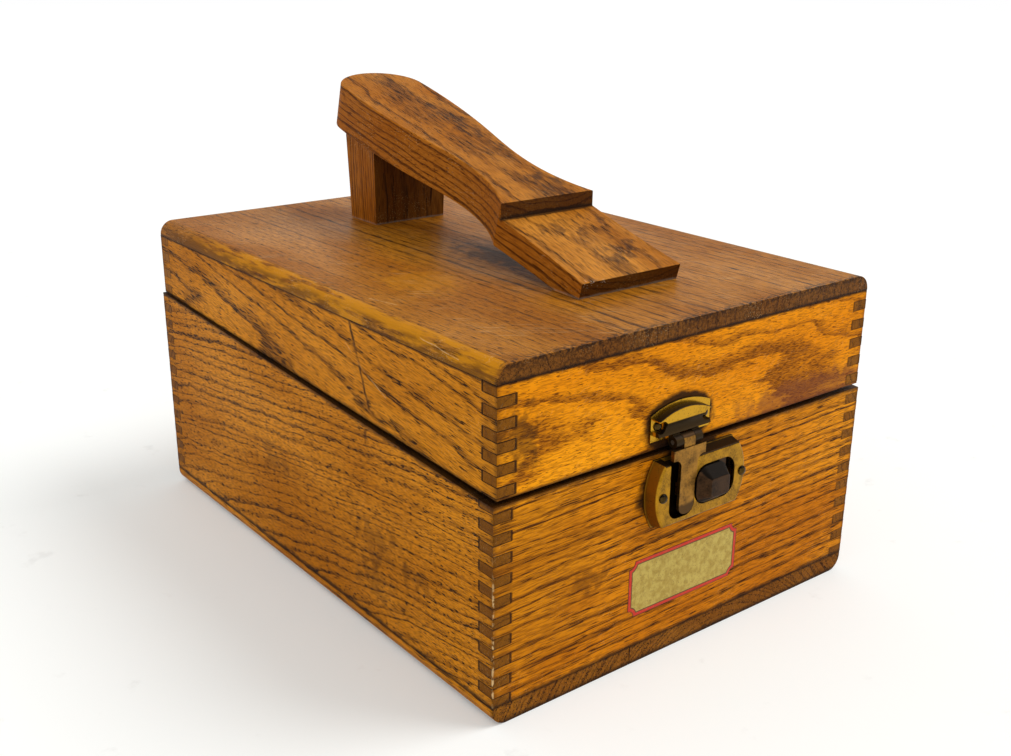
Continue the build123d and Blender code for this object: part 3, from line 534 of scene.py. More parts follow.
def stroke(coat, start, end, width, strength, tone=RAW_WOOD, shake=3.0):
    """A thin, slightly bent line from one point to another: a crack or a single long scratch."""
    tree, start, along = coat.tree, Vector(start), Vector(end) - Vector(start)
    bent = arrow(tree, "MULTIPLY_ADD", wander_by(tree, coat.place, 14), (shake, shake, shake), coat.place)
    from_start = arrow(tree, "SUBTRACT", bent, start)
    part_way = arrow(tree, "DOT_PRODUCT", from_start, along / along.length_squared)
    part_way = calc(tree, "MINIMUM", calc(tree, "MAXIMUM", part_way, 0.0), 1.0)
    gap = arrow(tree, "LENGTH", arrow(tree, "SUBTRACT", from_start, scale(tree, along, part_way)))
    uneven = coat.fade(coat.cloud(3, 3.0), 0.35, 0.6, 0.4, 1.0)
    coat.lay(tone, coat.fade(gap, width, width * 0.3), uneven, strength)


def flecks_at(coat, middle, reach, spacing, strength):
    """Loose dust round one place: about half the cells of a Voronoi texture hold a grain."""
    facts = {"Vector": coat.place, "Scale": 1 / spacing}
    grains = add_node(coat.tree, "ShaderNodeTexVoronoi", facts).outputs
    chosen = add_node(coat.tree, "ShaderNodeSeparateColor", {0: grains["Color"]}).outputs[0]
    grain = times(coat.tree, coat.fade(grains["Distance"], 0.30, 0.20), coat.fade(chosen, 0.45, 0.55))
    coat.lay(DUST, blot(coat, middle, reach), grain, strength)


def streaks_at(coat, middle, reach, strength, tone):
    """Short dark marks along Y, gathered round one place."""
    short = coat.fade(coat.cloud(3.0, 4.0, stretch=(1, 3.0, 1.5), shift=(5, 2, 7)), 0.50, 0.58)
    coat.lay(tone, blot(coat, middle, reach, Ragged=1.0), short, strength)


def rim_shade_and_polish(coat):
    """Painted shade on the sawn rims, which face up or down, so that the gap between lid and base looks
    black; old polish darkens them too.
    """
    upright = calc(coat.tree, "ABSOLUTE", coat.facing((0, 0, 1)))
    coat.lay(BLACK_GRIME_AND_SHADE, coat.fade(upright, 0.9, 0.97, 0.0, 0.75))


def rim_line(front, rear):
    """A sloping rim as its height at Y = 0 and how fast it climbs."""
    slope = (rear - front) / LENGTH
    return front - FRONT * slope, slope


print("board recipe and marks ready")

# %% [markdown]
# ## The finishes of the boards
#
# The slant of each cut decides the figure. The front of the base was cut so that its years run nearly
# straight, while the lid's front and the left side of the base graze the rings and show pointed flames. We
# set the slants against the photograph, board by board, and the places of the marks too.

# %% finishes of the base
BASE_RIM_LEVEL, BASE_RIM_SLOPE = rim_line(BASE_FRONT_RIM, BASE_REAR_RIM)


def base_marks(coat):
    rim_shade_and_polish(coat)
    grime_and_shade_at(coat, WALL, 2.2, 0.8)
    # painted shade and polish: the strip of wood just below the gap at the rim
    grime_and_shade_at(coat, BASE_RIM_LEVEL, 2.0, 0.75, BASE_RIM_SLOPE)
    # darker towards the bottom
    grime_and_shade_at(coat, 0.0, 14.0, 0.4)
    scratch_over(coat, (0.2, 0.9, 0.5), 14, 0.5, 0.1)
    corner_wear(coat, -BASE_SIDE, 8, 84)


def base_front_marks(coat):
    base_marks(coat)
    tinted_blot_at(coat, (-63, -154, 53), (14, 6, 5), 0.5, paint(84, 46, 6), 1.5)
    tinted_blot_at(coat, (-95, -154, 60), (48, 10, 60), 0.28, paint(110, 58, 4), 0.6)
    # the lock case's painted shadow on the wood, with old polish
    shade_and_polish_around(coat, "latch_case", 3.6, 0.95)


def base_side_marks(coat):
    base_marks(coat)
    for y, z, reach in ((35, 58, 16), (-65, 52, 20), (-62, 30, 15), (-100, 46, 14)):
        tinted_blot_at(coat, (-BASE_SIDE, y, z), (9, reach, reach * 0.5), 0.35, paint(62, 34, 6), 1.8)
    stroke(coat, (-BASE_SIDE, -60.5, 113), (-BASE_SIDE, -59, 99), 1.4, 0.8, paint(66, 36, 8))


def bottom_marks(coat):
    grime_and_shade_at(coat, WALL, 1.2, 0.8)
    # darker towards the bottom
    grime_and_shade_at(coat, 0.0, 3.0, 0.7)
    stroke(coat, (-37.8, FRONT, -1), (-37.2, FRONT, 10), 0.5, 1.0, BLACK_GRIME_AND_SHADE, 0.6)  # the glue line


oak_base_front = oak_board(
    "oak_base_front", (0, radians(1.2), radians(2)), (0, 150, 120), 5.0, 5.0, (1, 0, 0), BASE_FRONT_OAK,
    BASE_BOX, BASE_JOINTS, pores=(8.0, 0.26), bands=0.8, fading=0.5, after=base_front_marks,
)
oak_base_side = oak_board(
    "oak_base_side", (radians(3), 0, radians(-81.5)), (0, -68, 20), 4.0, 7.0, (0, 1, 0), SIDE_OAK,
    BASE_BOX, BASE_JOINTS, pores=(5.0, 0.32), bands=0.8, fading=0.5, after=base_side_marks,
)
oak_bottom = oak_board(
    "oak_bottom", (0, 0, radians(-90)), (0, 20, 60), 3.4, 3.0, (0, 1, 0), SIDE_OAK,
    BASE_BOX, bands=0.8, ends=0.7, after=bottom_marks,
)

# %% finishes of the lid
LID_RIM_LEVEL, LID_RIM_SLOPE = rim_line(LID_FRONT_RIM, LID_REAR_RIM)
PURPLE_BROWN = paint(112, 58, 36)


def lid_marks(coat):
    rim_shade_and_polish(coat)
    # painted shade and polish along the gap at the lid's rim
    grime_and_shade_at(coat, LID_RIM_LEVEL, 1.6, 0.7, LID_RIM_SLOPE)
    grime_and_shade_at(coat, TOP_SEAM, 1.3, 0.9)
    scratch_over(coat, (0.5, 0.7, 0.5), 16, 0.5, 0.1)


def lid_front_marks(coat):
    lid_marks(coat)
    tinted_blot_at(coat, (-104, -154, 129), (12, 9, 14), 0.6, paint(64, 38, 10), 1.3)
    tinted_blot_at(coat, (75, -154, 110), (60, 7, 10), 0.6, PURPLE_BROWN, 0.7)
    # the hasp plate's painted shadow on the wood, with old polish
    shade_and_polish_around(coat, "lid_latch_plate", 3.4, 0.95)


def lid_side_marks(coat):
    lid_marks(coat)
    stroke(coat, (-LID_SIDE, -45, 155), (-LID_SIDE, -60.5, 116), 1.5, 0.95, paint(74, 42, 10))  # the crack
    stroke(coat, (-LID_SIDE, -42, 142), (-LID_SIDE, -56, 133), 0.3, 0.6, shake=1.5)
    stroke(coat, (-LID_SIDE, -56, 133), (-LID_SIDE, -75, 125), 0.3, 0.6, shake=1.5)


oak_lid_front = oak_board(
    "oak_lid_front", (0, 0, radians(-5.5)), (0, 98.2, -113), 7.0, 14.0, (1, 0, 0), LID_FRONT_OAK,
    LID_BOX, LID_JOINTS, pores=(3.4, 0.2), bands=0.85, fading=0.5, year=0.35, after=lid_front_marks,
)
oak_lid_side = oak_board(
    "oak_lid_side", (radians(-6), 0, radians(-93)), (0, -80, -110), 6.5, 9.0, (0, 1, 0), SIDE_OAK,
    LID_BOX, LID_JOINTS, pores=(4.6, 0.28), bands=0.7, fading=0.45, after=lid_side_marks,
)

# %% finishes of the top
AMBER = paint(206, 134, 4)


def rubbed_left_edge(coat):
    """The rounded left edge: amber where it is rubbed, and brown below."""
    rubbed = coat.fade(coat.cloud(3, 5.0, stretch=(1, 9, 1)), 0.38, 0.50)
    along = times(coat.tree, coat.fade(coat.y, 150, 60), coat.fade(coat.y, -154.0, -151.0))
    rounded = times(coat.tree, coat.fade(coat.x, -108.6, -109.8), times(coat.tree, rubbed, along))
    coat.lay(AMBER, rounded, 0.8)
    uneven = coat.fade(coat.cloud(3, 5.0, stretch=(1, 6, 1)), 0.42, 0.56)
    coat.lay(paint(96, 54, 4), coat.fade(coat.x, -112.5, -114.8), uneven, 0.75)


def top_marks(coat):
    clean = coat.colour
    grime_and_shade_at(coat, TOP_SEAM, 1.6, 0.9)
    tinted_blot_at(coat, (-70, -36, 162), (20, 26, 20), 0.3, AMBER, 0.9)
    tinted_blot_at(coat, (-10, -20, 162), (14, 36, 20), 0.7, paint(58, 36, 22), 1.2)
    flecks_at(coat, (-30, -105, 162), (11, 10, 20), 0.6, 0.4)
    rubbed_left_edge(coat)
    scratch_over(coat, (0, 0, 0.6), 18, 0.35, 0.4)
    stroke(coat, (-113, -60, 160), (-114, -88, 159), 0.25, 0.6, shake=1.5)
    stroke(coat, (-113.5, -100, 159), (-114.5, -128, 157), 0.3, 0.6, shake=1.5)
    stroke(coat, (-104, -46, LID_TOP), (-100, -62, LID_TOP), 0.3, 0.7, shake=1.5)
    stroke(coat, (-88, -22, LID_TOP), (-70, -34, LID_TOP), 0.25, 0.5, shake=4.0)
    front_edge = coat.fade(coat.y, -148, -153.5), coat.fade(coat.z, 158.5, 161.4)
    coat.lay(BLACK_GRIME_AND_SHADE, *front_edge, coat.fade(coat.cloud(1.8, 4.0), 0.45, 0.56), 0.8)
    coat.lay(clean, coat.fade(coat.facing((0, 0, -1)), 0.9, 0.99))  # no marks on the underside


oak_top_left = oak_board(
    "oak_top_left", (0, 0, radians(-91)), (0, 70, -230), 4.2, 4.0, (0, 1, 0), TOP_OAK, LID_BOX,
    pores=(3.2, 0.22), bands=0.3, fading=0.4, ends=0.85, grimy=0.0, shine=(0.38, 0.06), after=top_marks,
)
oak_top_right = oak_board(
    "oak_top_right", (0, radians(1.0), radians(-90)), (0, 190, -150), 6.2, 3.0, (0, 1, 0), TOP_OAK, LID_BOX,
    pores=(6.0, 0.24), bands=0.75, fading=0.32, ends=0.85, grimy=0.0, shine=(0.38, 0.06), after=top_marks,
)

# %% finishes of the foot rest
SOLE_BOX = Vector((-29.7, -128.5, 150)), Vector((32.7, 120, 260))
HEEL_BOX = Vector((-23, 79, 150)), Vector((28.4, 108.6, 260))
STREAKS = (4, -60, 188, 30, 10), (14, -88, 178, 24, 12), (14, 40, 218, 10, 60), (12, -26, 200, 14, 12)


def rest_marks(coat):
    tree = coat.tree
    sideways = coat.fade(calc(tree, "ABSOLUTE", coat.facing((1, 0, 0))), 0.3, 0.8)
    coat.lay(paint(160, 84, 4), sideways, 0.45)
    figure = calc(tree, "MAXIMUM", coat.wood["Pores"], coat.wood["Band"])
    coat.lay(paint(40, 20, 4), figure, times(tree, sideways, 0.5))
    # painted shade: the faces that look forward (the heel block's front under the sole, the step, the toe
    # end) are darkened as if in shadow
    coat.lay(paint(46, 20, 4), coat.fade(coat.facing((0, -1, 0)), 0.7, 0.9), 0.75)
    for x, y, z, across, along in STREAKS:
        streaks_at(coat, (x, y, z), (across, along, 20), 0.6, paint(48, 30, 20))
    # painted shade: a black line in the crevice at the foot of the step
    tinted_blot_at(coat, (1.5, -44.3, 187.7), (60, 2.2, 2.2), 0.85, BLACK_GRIME_AND_SHADE, 0.3)  # in the step
    flecks_at(coat, (-22, -106, 169), (12, 3, 3), 0.9, 0.9)
    grime_and_shade_at(coat, LID_TOP, 1.4, 0.2, tone=DUST)
    scratch_over(coat, (0.3, 0.4, 1.2), 12, 0.5, 0.2)


oak_sole = oak_board(
    "oak_sole", (radians(-15.5), 0, radians(-90)), (0, 6, -300), 3.4, 6.0, (0, 0.964, 0.267), REST_OAK,
    SOLE_BOX, pores=(4.0, 0.26), bands=0.8, fading=0.5, ends=0.4, after=rest_marks,
)
oak_heel_block = oak_board(
    "oak_heel_block", (0, radians(90), 0), (0, 30, 40), 3.0, 2.0, (0, 0, 1), REST_OAK, HEEL_BOX,
    pores=(7.0, 0.3), bands=0.6, fading=0.5, after=rest_marks,
)
print("oak finishes:", [m.name for m in bpy.data.materials if m.name.startswith("oak")])

# %% [markdown]
# ## Boards with eased edges
#
# The measured boards have knife-sharp edges, which no sawn and handled board has. A copy of each is welded,
# its flat faces joined up, and a Bevel modifier eases every corner by a third of a millimetre, so that light
# catches the edges and each finger of the joints shows a fine groove. The original stays, hidden, as the
# measured part.

# %% ease the edges of a part
def finished_piece(mesh, name, finish, *replaced):
    """A finished mesh that stands for some measured parts, and rides on the body of the first."""
    mesh.name = name
    mesh.materials.clear()
    mesh.materials.append(finish)
    piece = stand(name, mesh)
    body, slot = BODY_OF[replaced[0]], SLOT_OF[replaced[0]]
    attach(piece, body)
    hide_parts(*replaced)
    return piece


def baked(source):
    """The mesh of an object with its modifiers worked out, and the object removed."""
    bpy.context.view_layer.update()
    mesh = bpy.data.meshes.new_from_object(source.evaluated_get(bpy.context.evaluated_depsgraph_get()))
    bpy.data.objects.remove(source)
    return mesh


def eased(node, name, finish, width=0.35, angle=30):
    """A copy of a measured part with eased edges, which stands for it."""
    shape = bmesh.new()
    shape.from_mesh(nodes[node].data)
    bmesh.ops.remove_doubles(shape, verts=shape.verts, dist=1e-6)
    bmesh.ops.dissolve_limit(shape, angle_limit=radians(0.5), verts=shape.verts, edges=shape.edges)
    mesh = bpy.data.meshes.new(name)
    shape.to_mesh(mesh)
    shape.free()
    mesh.shade_smooth()
    source = stand(name, mesh)
    bevel = source.modifiers.new("eased edges", "BEVEL")
    bevel.width = width * MM
    bevel.segments = 2
    bevel.limit_method = "ANGLE"
    bevel.angle_limit = radians(angle)
    bevel.harden_normals = True
    bevel.use_clamp_overlap = True
    source.modifiers.new("flat faces", "WEIGHTED_NORMAL").keep_sharp = True
    piece = finished_piece(baked(source), name, finish, node)
    print(piece.name, len(piece.data.polygons), "faces")


# %% ease the boards
BOARDS = {
    oak_base_front: ["base_front_board", "base_back_board"],
    oak_base_side: ["base_left_board", "base_right_board"],
    oak_bottom: ["bottom_board_left", "bottom_board_right"],
    oak_lid_front: ["lid_front_board", "lid_back_board"],
    oak_lid_side: ["lid_left_board", "lid_right_board"],
    oak_top_left: ["top_board_left"],
    oak_top_right: ["top_board_right"],
    oak_sole: ["foot_rest_sole"],
    oak_heel_block: ["foot_rest_heel_block"],
}
for finish, boards in BOARDS.items():
    for node in boards:
        eased(node, node.replace("_board", "").replace("foot_rest_heel", "heel") + "_oak", finish)

# %% [markdown]
# ## Old brass, dark steel and the label
#
# The lock is pressed brass that has gone brown in the hollows and stayed yellow where hands rub it. Patina is
# therefore a mask: noise, plus painted shade on the faces that look straight up or down. The mask drives
# colour, roughness and how metallic the surface is, since a thick brown skin reflects like paint rather than
# metal.

# %% the patina group, with painted shade
patina, given, made = new_group(
    "patina", {"Place": ORIGIN, "Normal": (0, -1, 0), "Amount": 0.5}, "Mask", "Fine", "Height"
)
broad = cloud(patina, given["Place"], 6, 5.0)
fine = cloud(patina, given["Place"], 0.9, 4.0, shift=(2, 8, 3))
level_faces = calc(patina, "ABSOLUTE", arrow(patina, "DOT_PRODUCT", given["Normal"], (0, 0, 1)))
# painted shade: faces that look up or down are darkened as if shaded, on top of the patina
level_face_shade = fade(patina, level_faces, 0.45, 0.8)
level = calc(patina, "ADD", times(patina, broad, 0.8), times(patina, fine, 0.35))
level = calc(patina, "ADD", level, calc(patina, "MULTIPLY_ADD", level_face_shade, 0.8, given["Amount"]))
fill(patina, made["Mask"], fade(patina, level, 0.85, 1.35))
fill(patina, made["Fine"], fine)
fill(patina, made["Height"], calc(patina, "MULTIPLY_ADD", fine, 0.6, times(patina, broad, 0.6)))


# %% where patina and painted shade lie on each metal part
CASE_X, CASE_Z = -3.6, 84.25


def cove_shade_and_patina(tree, place, mask):
    """Painted shade and more patina in the hollow band and on the knuckles along the bottom of the hasp's
    plate.
    """
    at = split(tree, place)
    low_down, out_front = fade(tree, at[2], 118.6, 117.4), fade(tree, at[1], -155.8, -156.4)
    return calc(tree, "MAXIMUM", mask, times(tree, low_down, out_front, 0.97))


def case_shade_and_patina(tree, place, mask):
    """Painted shade inside the lock case, and a thinner coat of painted shade and patina on its two bowed
    ends.
    """
    at = split(tree, place)
    behind_face = fade(tree, at[1], -160.9, -160.4)
    off_middle = calc(tree, "ABSOLUTE", calc(tree, "ADD", at[0], -CASE_X))
    off_level = calc(tree, "ABSOLUTE", minus(tree, at[2], CASE_Z))
    within = times(tree, fade(tree, off_middle, 24.3, 23.3), fade(tree, off_level, 14.4, 14.1))
    painted_case_shade = calc(tree, "MAXIMUM", within, fade(tree, off_middle, 23.8, 25.0, 0.0, 0.45))
    return calc(tree, "MAXIMUM", mask, times(tree, painted_case_shade, behind_face))


def tip_dirt(tree, place, mask):
    """More patina on the tip of the hasp's tongue."""
    level = calc(tree, "MULTIPLY_ADD", cloud(tree, place, 4, 3.0), 4.0, split(tree, place)[2])
    return calc(tree, "MAXIMUM", mask, times(tree, fade(tree, level, 81.5, 79.0), 0.85))


# %% the metals
def metal(name, bright, dark, amount, rough, dulled, extra=None):
    """A metal whose patina, with painted shade on the faces that look up or down, darkens, dulls and skins it
    over.
    """
    material, tree, shader, place, normal = new_finish(name)
    patina_and_shade = use(tree, patina, Place=place, Normal=normal, Amount=amount)
    mask = patina_and_shade["Mask"] if extra is None else extra(tree, place, patina_and_shade["Mask"])
    speckle = fade(tree, patina_and_shade["Fine"], 0.60, 0.72, 0.0, 0.5)
    colour = mix(tree, speckle, mix(tree, mask, bright, dark), dark)
    fill(tree, shader.inputs["Base Color"], colour)
    fill(tree, shader.inputs["Roughness"], fade(tree, mask, 0.0, 1.0, rough, dulled))
    fill(tree, shader.inputs["Metallic"], fade(tree, mask, 0.0, 1.0, 1.0, 0.85))
    shader.inputs["Specular IOR Level"].default_value = 0.15
    add_bump(tree, shader, patina_and_shade["Height"], 0.25, 0.0002)
    return material


brass_plate = metal("brass_plate", paint(196, 146, 36), paint(36, 26, 16), 0.30, 0.24, 0.5, cove_shade_and_patina)
brass_case = metal("brass_case", paint(178, 128, 30), paint(44, 30, 12), 0.44, 0.28, 0.5, case_shade_and_patina)
brass_hasp = metal("brass_hasp", paint(164, 116, 46), paint(56, 38, 20), 0.46, 0.30, 0.5, tip_dirt)
brass_hinge = metal("brass_hinge", paint(176, 134, 62), paint(48, 32, 18), 0.34, 0.34, 0.55)
brass_nail = metal("brass_nail", paint(84, 64, 28), paint(14, 10, 5), 0.50, 0.14, 0.3)
dark_steel = metal("dark_steel", paint(66, 46, 30), paint(15, 10, 6), 0.42, 0.30, 0.5)
dull_steel = metal("dull_steel", paint(166, 162, 156), paint(84, 76, 68), 0.25, 0.34, 0.6)

# %% [markdown]
# The label is a thin gold-coloured sheet with notched corners. Ours keeps its place, size and border and is
# otherwise bare: a red band between two thin dark lines, and a rubbed gold field. The border follows the
# notched outline, so it comes from the distance to the label's sides and to its four corner circles.

# %% the label's finish
LABEL_MIDDLE, LABEL_HALF, LABEL_NOTCH = (-4.5, 0, 38.95), (35.4, 0, 14.15), 3.6
BAND, LINE = 1.8, 1.95  # how far in the red band reaches, and where the inner line runs
label_foil, tree, shader, place, normal = new_finish("label_foil")
to_sides = depth_inside(tree, place, LABEL_MIDDLE, LABEL_HALF)
to_corner = arrow(tree, "LENGTH", combine(tree, x=to_sides[0], z=to_sides[2]))
to_straight = calc(tree, "MINIMUM", to_sides[0], to_sides[2])
inward = calc(tree, "MINIMUM", to_straight, minus(tree, to_corner, LABEL_NOTCH))
rubbed, speckled = cloud(tree, place, 2.6, 6.0), cloud(tree, place, 0.7, 3.0)
field = mix(tree, fade(tree, rubbed, 0.35, 0.65), paint(188, 164, 78), paint(166, 138, 54))
coat = Coat(tree, place, normal, field)
coat.lay(paint(110, 84, 34), coat.fade(speckled, 0.56, 0.70, 0.0, 0.55))
unworn = coat.fade(speckled, 0.68, 0.56, 0.6, 1.0)
coat.lay(paint(196, 38, 14), coat.fade(inward, BAND + 0.05, BAND - 0.05), unworn)
to_lines = calc(tree, "MINIMUM", inward, calc(tree, "ABSOLUTE", minus(tree, inward, LINE)))
coat.lay(paint(60, 30, 14), coat.fade(to_lines, 0.34, 0.22, 0.0, 0.85))
fill(tree, shader.inputs["Base Color"], coat.colour)
fill(tree, shader.inputs["Roughness"], fade(tree, rubbed, 0.3, 0.7, 0.34, 0.5))
fill(tree, shader.inputs["Metallic"], fade(tree, rubbed, 0.3, 0.7, 0.25, 0.1))
shader.inputs["Specular IOR Level"].default_value = 0.3
add_bump(tree, shader, calc(tree, "ADD", rubbed, speckled), 0.2, 0.0001)

# %% dress the hardware
HARDWARE = [
    ("lid_latch_plate", "hasp_plate_brass", brass_plate, 0.15),
    ("hasp", "hasp_brass", brass_hasp, 0.25),
    ("latch_back_plate", "lock_back_plate_brass", brass_case, 0.15),
    ("latch_bolt", "lock_bolt_steel", dark_steel, 0.2),
]
for part in ("base", "lid"):
    for side in ("left", "right"):
        HARDWARE.append((f"{part}_hinge_leaf_{side}", f"{part}_leaf_{side}_brass", brass_hinge, 0.2))
for node, name, finish, width in HARDWARE:
    eased(node, name, finish, width, angle=40)

UNCHANGED = {
    "latch_case": brass_case, "latch_button": dark_steel, "hasp_pin": dull_steel,
    "hinge_pin_left": dull_steel, "hinge_pin_right": dull_steel, "label": label_foil,
}
for node, finish in UNCHANGED.items():
    nodes[node].data.materials.clear()
    nodes[node].data.materials.append(finish)

# %% [markdown]
# ## Nails, screws and the spring with Geometry Nodes
#
# Small parts that repeat are best made once and set out on points. A round-headed nail is a turned shape: a
# flat grid is wrapped round an axis, its radius and height taken from an arc, and welded along the seam.
# Each tree takes a mesh of bare points and named inputs for its sizes and its material. Nails and screws
# also take a direction.

# %% helpers for geometry nodes
def new_tree(name, inputs):
    """An empty geometry tree with named inputs, a geometry output, and its two end nodes."""
    tree = bpy.data.node_groups.new(name, "GeometryNodeTree")
    tree.interface.new_socket("Geometry", in_out="INPUT", socket_type="NodeSocketGeometry")
    name_inputs(tree, inputs)
    tree.interface.new_socket("Geometry", in_out="OUTPUT", socket_type="NodeSocketGeometry")
    return tree, tree.nodes.new("NodeGroupInput").outputs, tree.nodes.new("NodeGroupOutput").inputs[0]


def form(tree, kind, values=(), **settings):
    """A geometry node's first output."""
    return add_node(tree, "GeometryNode" + kind, values, **settings).outputs[0]


def join(tree, *forms):
    """Several forms as one."""
    whole = add_node(tree, "GeometryNodeJoinGeometry")
    for one in forms:
        tree.links.new(one, whole.inputs[0])
    return whole.outputs[0]


def grow(tree, points, name, **values):
    """Runs a tree on a mesh of points and gives back the finished mesh."""
    mesh = bpy.data.meshes.new(name)
    mesh.from_pydata(points, [], [])
    source = stand(name, mesh)
    modifier = source.modifiers.new(name, "NODES")
    modifier.node_group = tree
    for socket in tree.interface.items_tree:
        key = socket.name.replace(" ", "_")
        if socket.in_out == "INPUT" and key in values:
            modifier[socket.identifier] = values[key]
    result = baked(source)
    print(name, len(result.polygons), "faces")
    return result


def set_out(tree, given, shape, tilt):
    """Places a shape on each point, makes it real and gives it its material."""
    turned = add_node(tree, "FunctionNodeEulerToRotation", {0: tilt}).outputs[0]
    facts = {"Points": given["Geometry"], "Instance": shape, "Rotation": turned}
    placed = form(tree, "InstanceOnPoints", facts)
    smooth = form(tree, "SetShadeSmooth", {0: form(tree, "RealizeInstances", {0: placed})})
    return form(tree, "SetMaterial", {0: smooth, "Material": given["Material"]})


# %% the nail tree
HEAD_RADIUS, HEAD_RISE = 2.3 * MM, 1.6 * MM
nails, given, result = new_tree(
    "round_headed_nails",
    {
        "Head": HEAD_RADIUS, "Dome": HEAD_RISE, "Shank": 0.9 * MM, "Length": 7.4 * MM,
        "Tilt": (pi / 2, 0, 0), "Material": None,
    },
)
grid = form(nails, "MeshGrid", {"Size X": 1.0, "Size Y": 1.0, "Vertices X": 33, "Vertices Y": 11})
x, y, z = split(nails, form(nails, "InputPosition"))
around = calc(nails, "MULTIPLY_ADD", x, 2 * pi, pi)
down_dome = times(nails, calc(nails, "ADD", y, 0.5), pi / 2)
radius = times(nails, calc(nails, "SINE", down_dome), given["Head"])
rise = times(nails, calc(nails, "COSINE", down_dome), given["Dome"])
across, along = (times(nails, calc(nails, turn, around), radius) for turn in ("COSINE", "SINE"))
wrapped = combine(nails, across, along, rise)
domed = form(nails, "SetPosition", {0: grid, "Position": wrapped})
domed = form(nails, "MergeByDistance", {0: domed, "Distance": 1e-6})
underside = form(nails, "MeshCircle", {"Vertices": 32, "Radius": given["Head"]}, fill_type="NGON")
underside = form(nails, "FlipFaces", {0: underside})
shank = form(nails, "MeshCylinder", {"Vertices": 16, "Radius": given["Shank"], "Depth": given["Length"]})
drop = combine(nails, z=times(nails, given["Length"], -0.5))
shank = form(nails, "Transform", {0: shank, "Translation": drop})
fill(nails, result, set_out(nails, given, join(nails, shank, underside, domed), given["Tilt"]))

# %% set out the nails
def nail_points(node):
    """The places of a part's two nails: at its ends in X, its middle in Z and the metal's face in Y."""
    low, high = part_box(node)
    face, level = low.y + HEAD_RISE, (low.z + high.z) / 2
    return [(x, face, level) for x in (low.x + HEAD_RADIUS, high.x - HEAD_RADIUS)]


NAILS = {"lid_plate_nails": ("hasp_plate_nails", 7.4), "latch_case_nails": ("lock_case_nails", 13.5)}
for node, (name, length) in NAILS.items():
    mesh = grow(nails, nail_points(node), name, Length=length * MM, Material=brass_nail)
    finished_piece(mesh, name, brass_nail, node)

# %% [markdown]
# A slotted wood screw is a cone-shaped head, a shank and a thread. The thread is a spiral curve with a
# three-sided profile swept along it, and the slot is cut with a boolean. One tree serves the small hinge
# screws and the long screws that hold the foot rest from inside the lid.

# %% the screw tree
screws, given, result = new_tree(
    "slotted_screws",
    {
        "Head": 2.6 * MM, "Shank": 1.2 * MM, "Length": 8.0 * MM, "Pitch": 1.1 * MM,
        "Tilt": (-pi / 2, 0, 0), "Material": None,
    },
)
head, shank, length = given["Head"], given["Shank"], given["Length"]
cone_depth = minus(screws, head, shank)
cone = form(
    screws, "MeshCone", {"Vertices": 40, "Radius Top": head, "Radius Bottom": shank, "Depth": cone_depth}
)
cone = form(screws, "Transform", {0: cone, "Translation": combine(screws, z=times(screws, cone_depth, -1.0))})
slot_size = combine(screws, times(screws, head, 3.0), 0.8 * MM, 1.4 * MM)
slot_cutter = form(screws, "MeshCube", {"Size": slot_size})
slotted = form(
    screws, "MeshBoolean", {"Mesh 1": cone, "Mesh 2": slot_cutter}, operation="DIFFERENCE", solver="EXACT"
)
core_radius = times(screws, shank, 0.72)
core_length = minus(screws, length, cone_depth)
tip_radius = times(screws, core_radius, 0.35)
core = form(
    screws, "MeshCone",
    {"Vertices": 16, "Radius Top": core_radius, "Radius Bottom": tip_radius, "Depth": core_length},
)
foot = combine(screws, z=times(screws, length, -1.0))
core = form(screws, "Transform", {0: core, "Translation": foot})

# %% the screw's thread
thread_length = times(screws, core_length, 0.7)
thread = form(
    screws, "CurveSpiral",
    {
        "Resolution": 14,
        "Rotations": calc(screws, "DIVIDE", thread_length, given["Pitch"]),
        "Start Radius": times(screws, core_radius, 0.5),
        "End Radius": times(screws, core_radius, 0.97),
        "Height": thread_length,
    },
)
profile = form(screws, "CurvePrimitiveCircle", {"Resolution": 3, "Radius": times(screws, shank, 0.2)})
thread = form(screws, "CurveToMesh", {0: thread, 1: profile, "Fill Caps": True})
thread = form(screws, "Transform", {0: thread, "Translation": foot})
fill(screws, result, set_out(screws, given, join(screws, thread, core, slotted), given["Tilt"]))

# %% set out the screws
HINGE_SCREW_X = [side * 72 + offset for side in (-1, 1) for offset in (-12, 12)]
for body, level in (("base", 111.9), ("lid", 128.5)):
    node = body + "_hinge_screws"
    points = [(x * MM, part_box(node)[1].y, level * MM) for x in HINGE_SCREW_X]
    mesh = grow(screws, points, node + "_brass", Material=brass_hinge)
    finished_piece(mesh, node + "_brass", brass_hinge, node)

REST_HEAD = 3.7 * MM
low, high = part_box("foot_rest_screws")
REST_SCREWS = {
    "toe_screws_steel": ([-15.5, 18.5], low.y + REST_HEAD, 16 * MM),
    "heel_screws_steel": ([-11.3, 16.7], high.y - REST_HEAD, 32 * MM),
}
for name, (places, y, length) in REST_SCREWS.items():
    mesh = grow(
        screws, [(x * MM, y, low.z) for x in places], name, Head=REST_HEAD, Shank=1.9 * MM, Length=length,
        Pitch=1.8 * MM, Tilt=(pi, 0, 0), Material=dull_steel,
    )
    finished_piece(mesh, name, dull_steel, "foot_rest_screws")

# %% [markdown]
# ## The return spring
#
# Inside the lock a small coil pushes the button back. A coil follows one rule, so a spiral curve with a round
# profile makes it directly.

# %% the spring tree
springs, given, result = new_tree(
    "coil_spring",
    {"Coil Radius": 1.6 * MM, "Wire": 0.25 * MM, "Length": 12.9 * MM, "Turns": 9.0, "Material": None},
)
coil = form(
    springs, "CurveSpiral",
    {
        "Resolution": 20, "Rotations": given["Turns"], "Start Radius": given["Coil Radius"],
        "End Radius": given["Coil Radius"], "Height": given["Length"],
    },
)
wire = form(springs, "CurvePrimitiveCircle", {"Resolution": 8, "Radius": given["Wire"]})
coil = form(springs, "CurveToMesh", {0: coil, 1: wire, "Fill Caps": True})
fill(springs, result, set_out(springs, given, coil, combine(springs, y=pi / 2)))

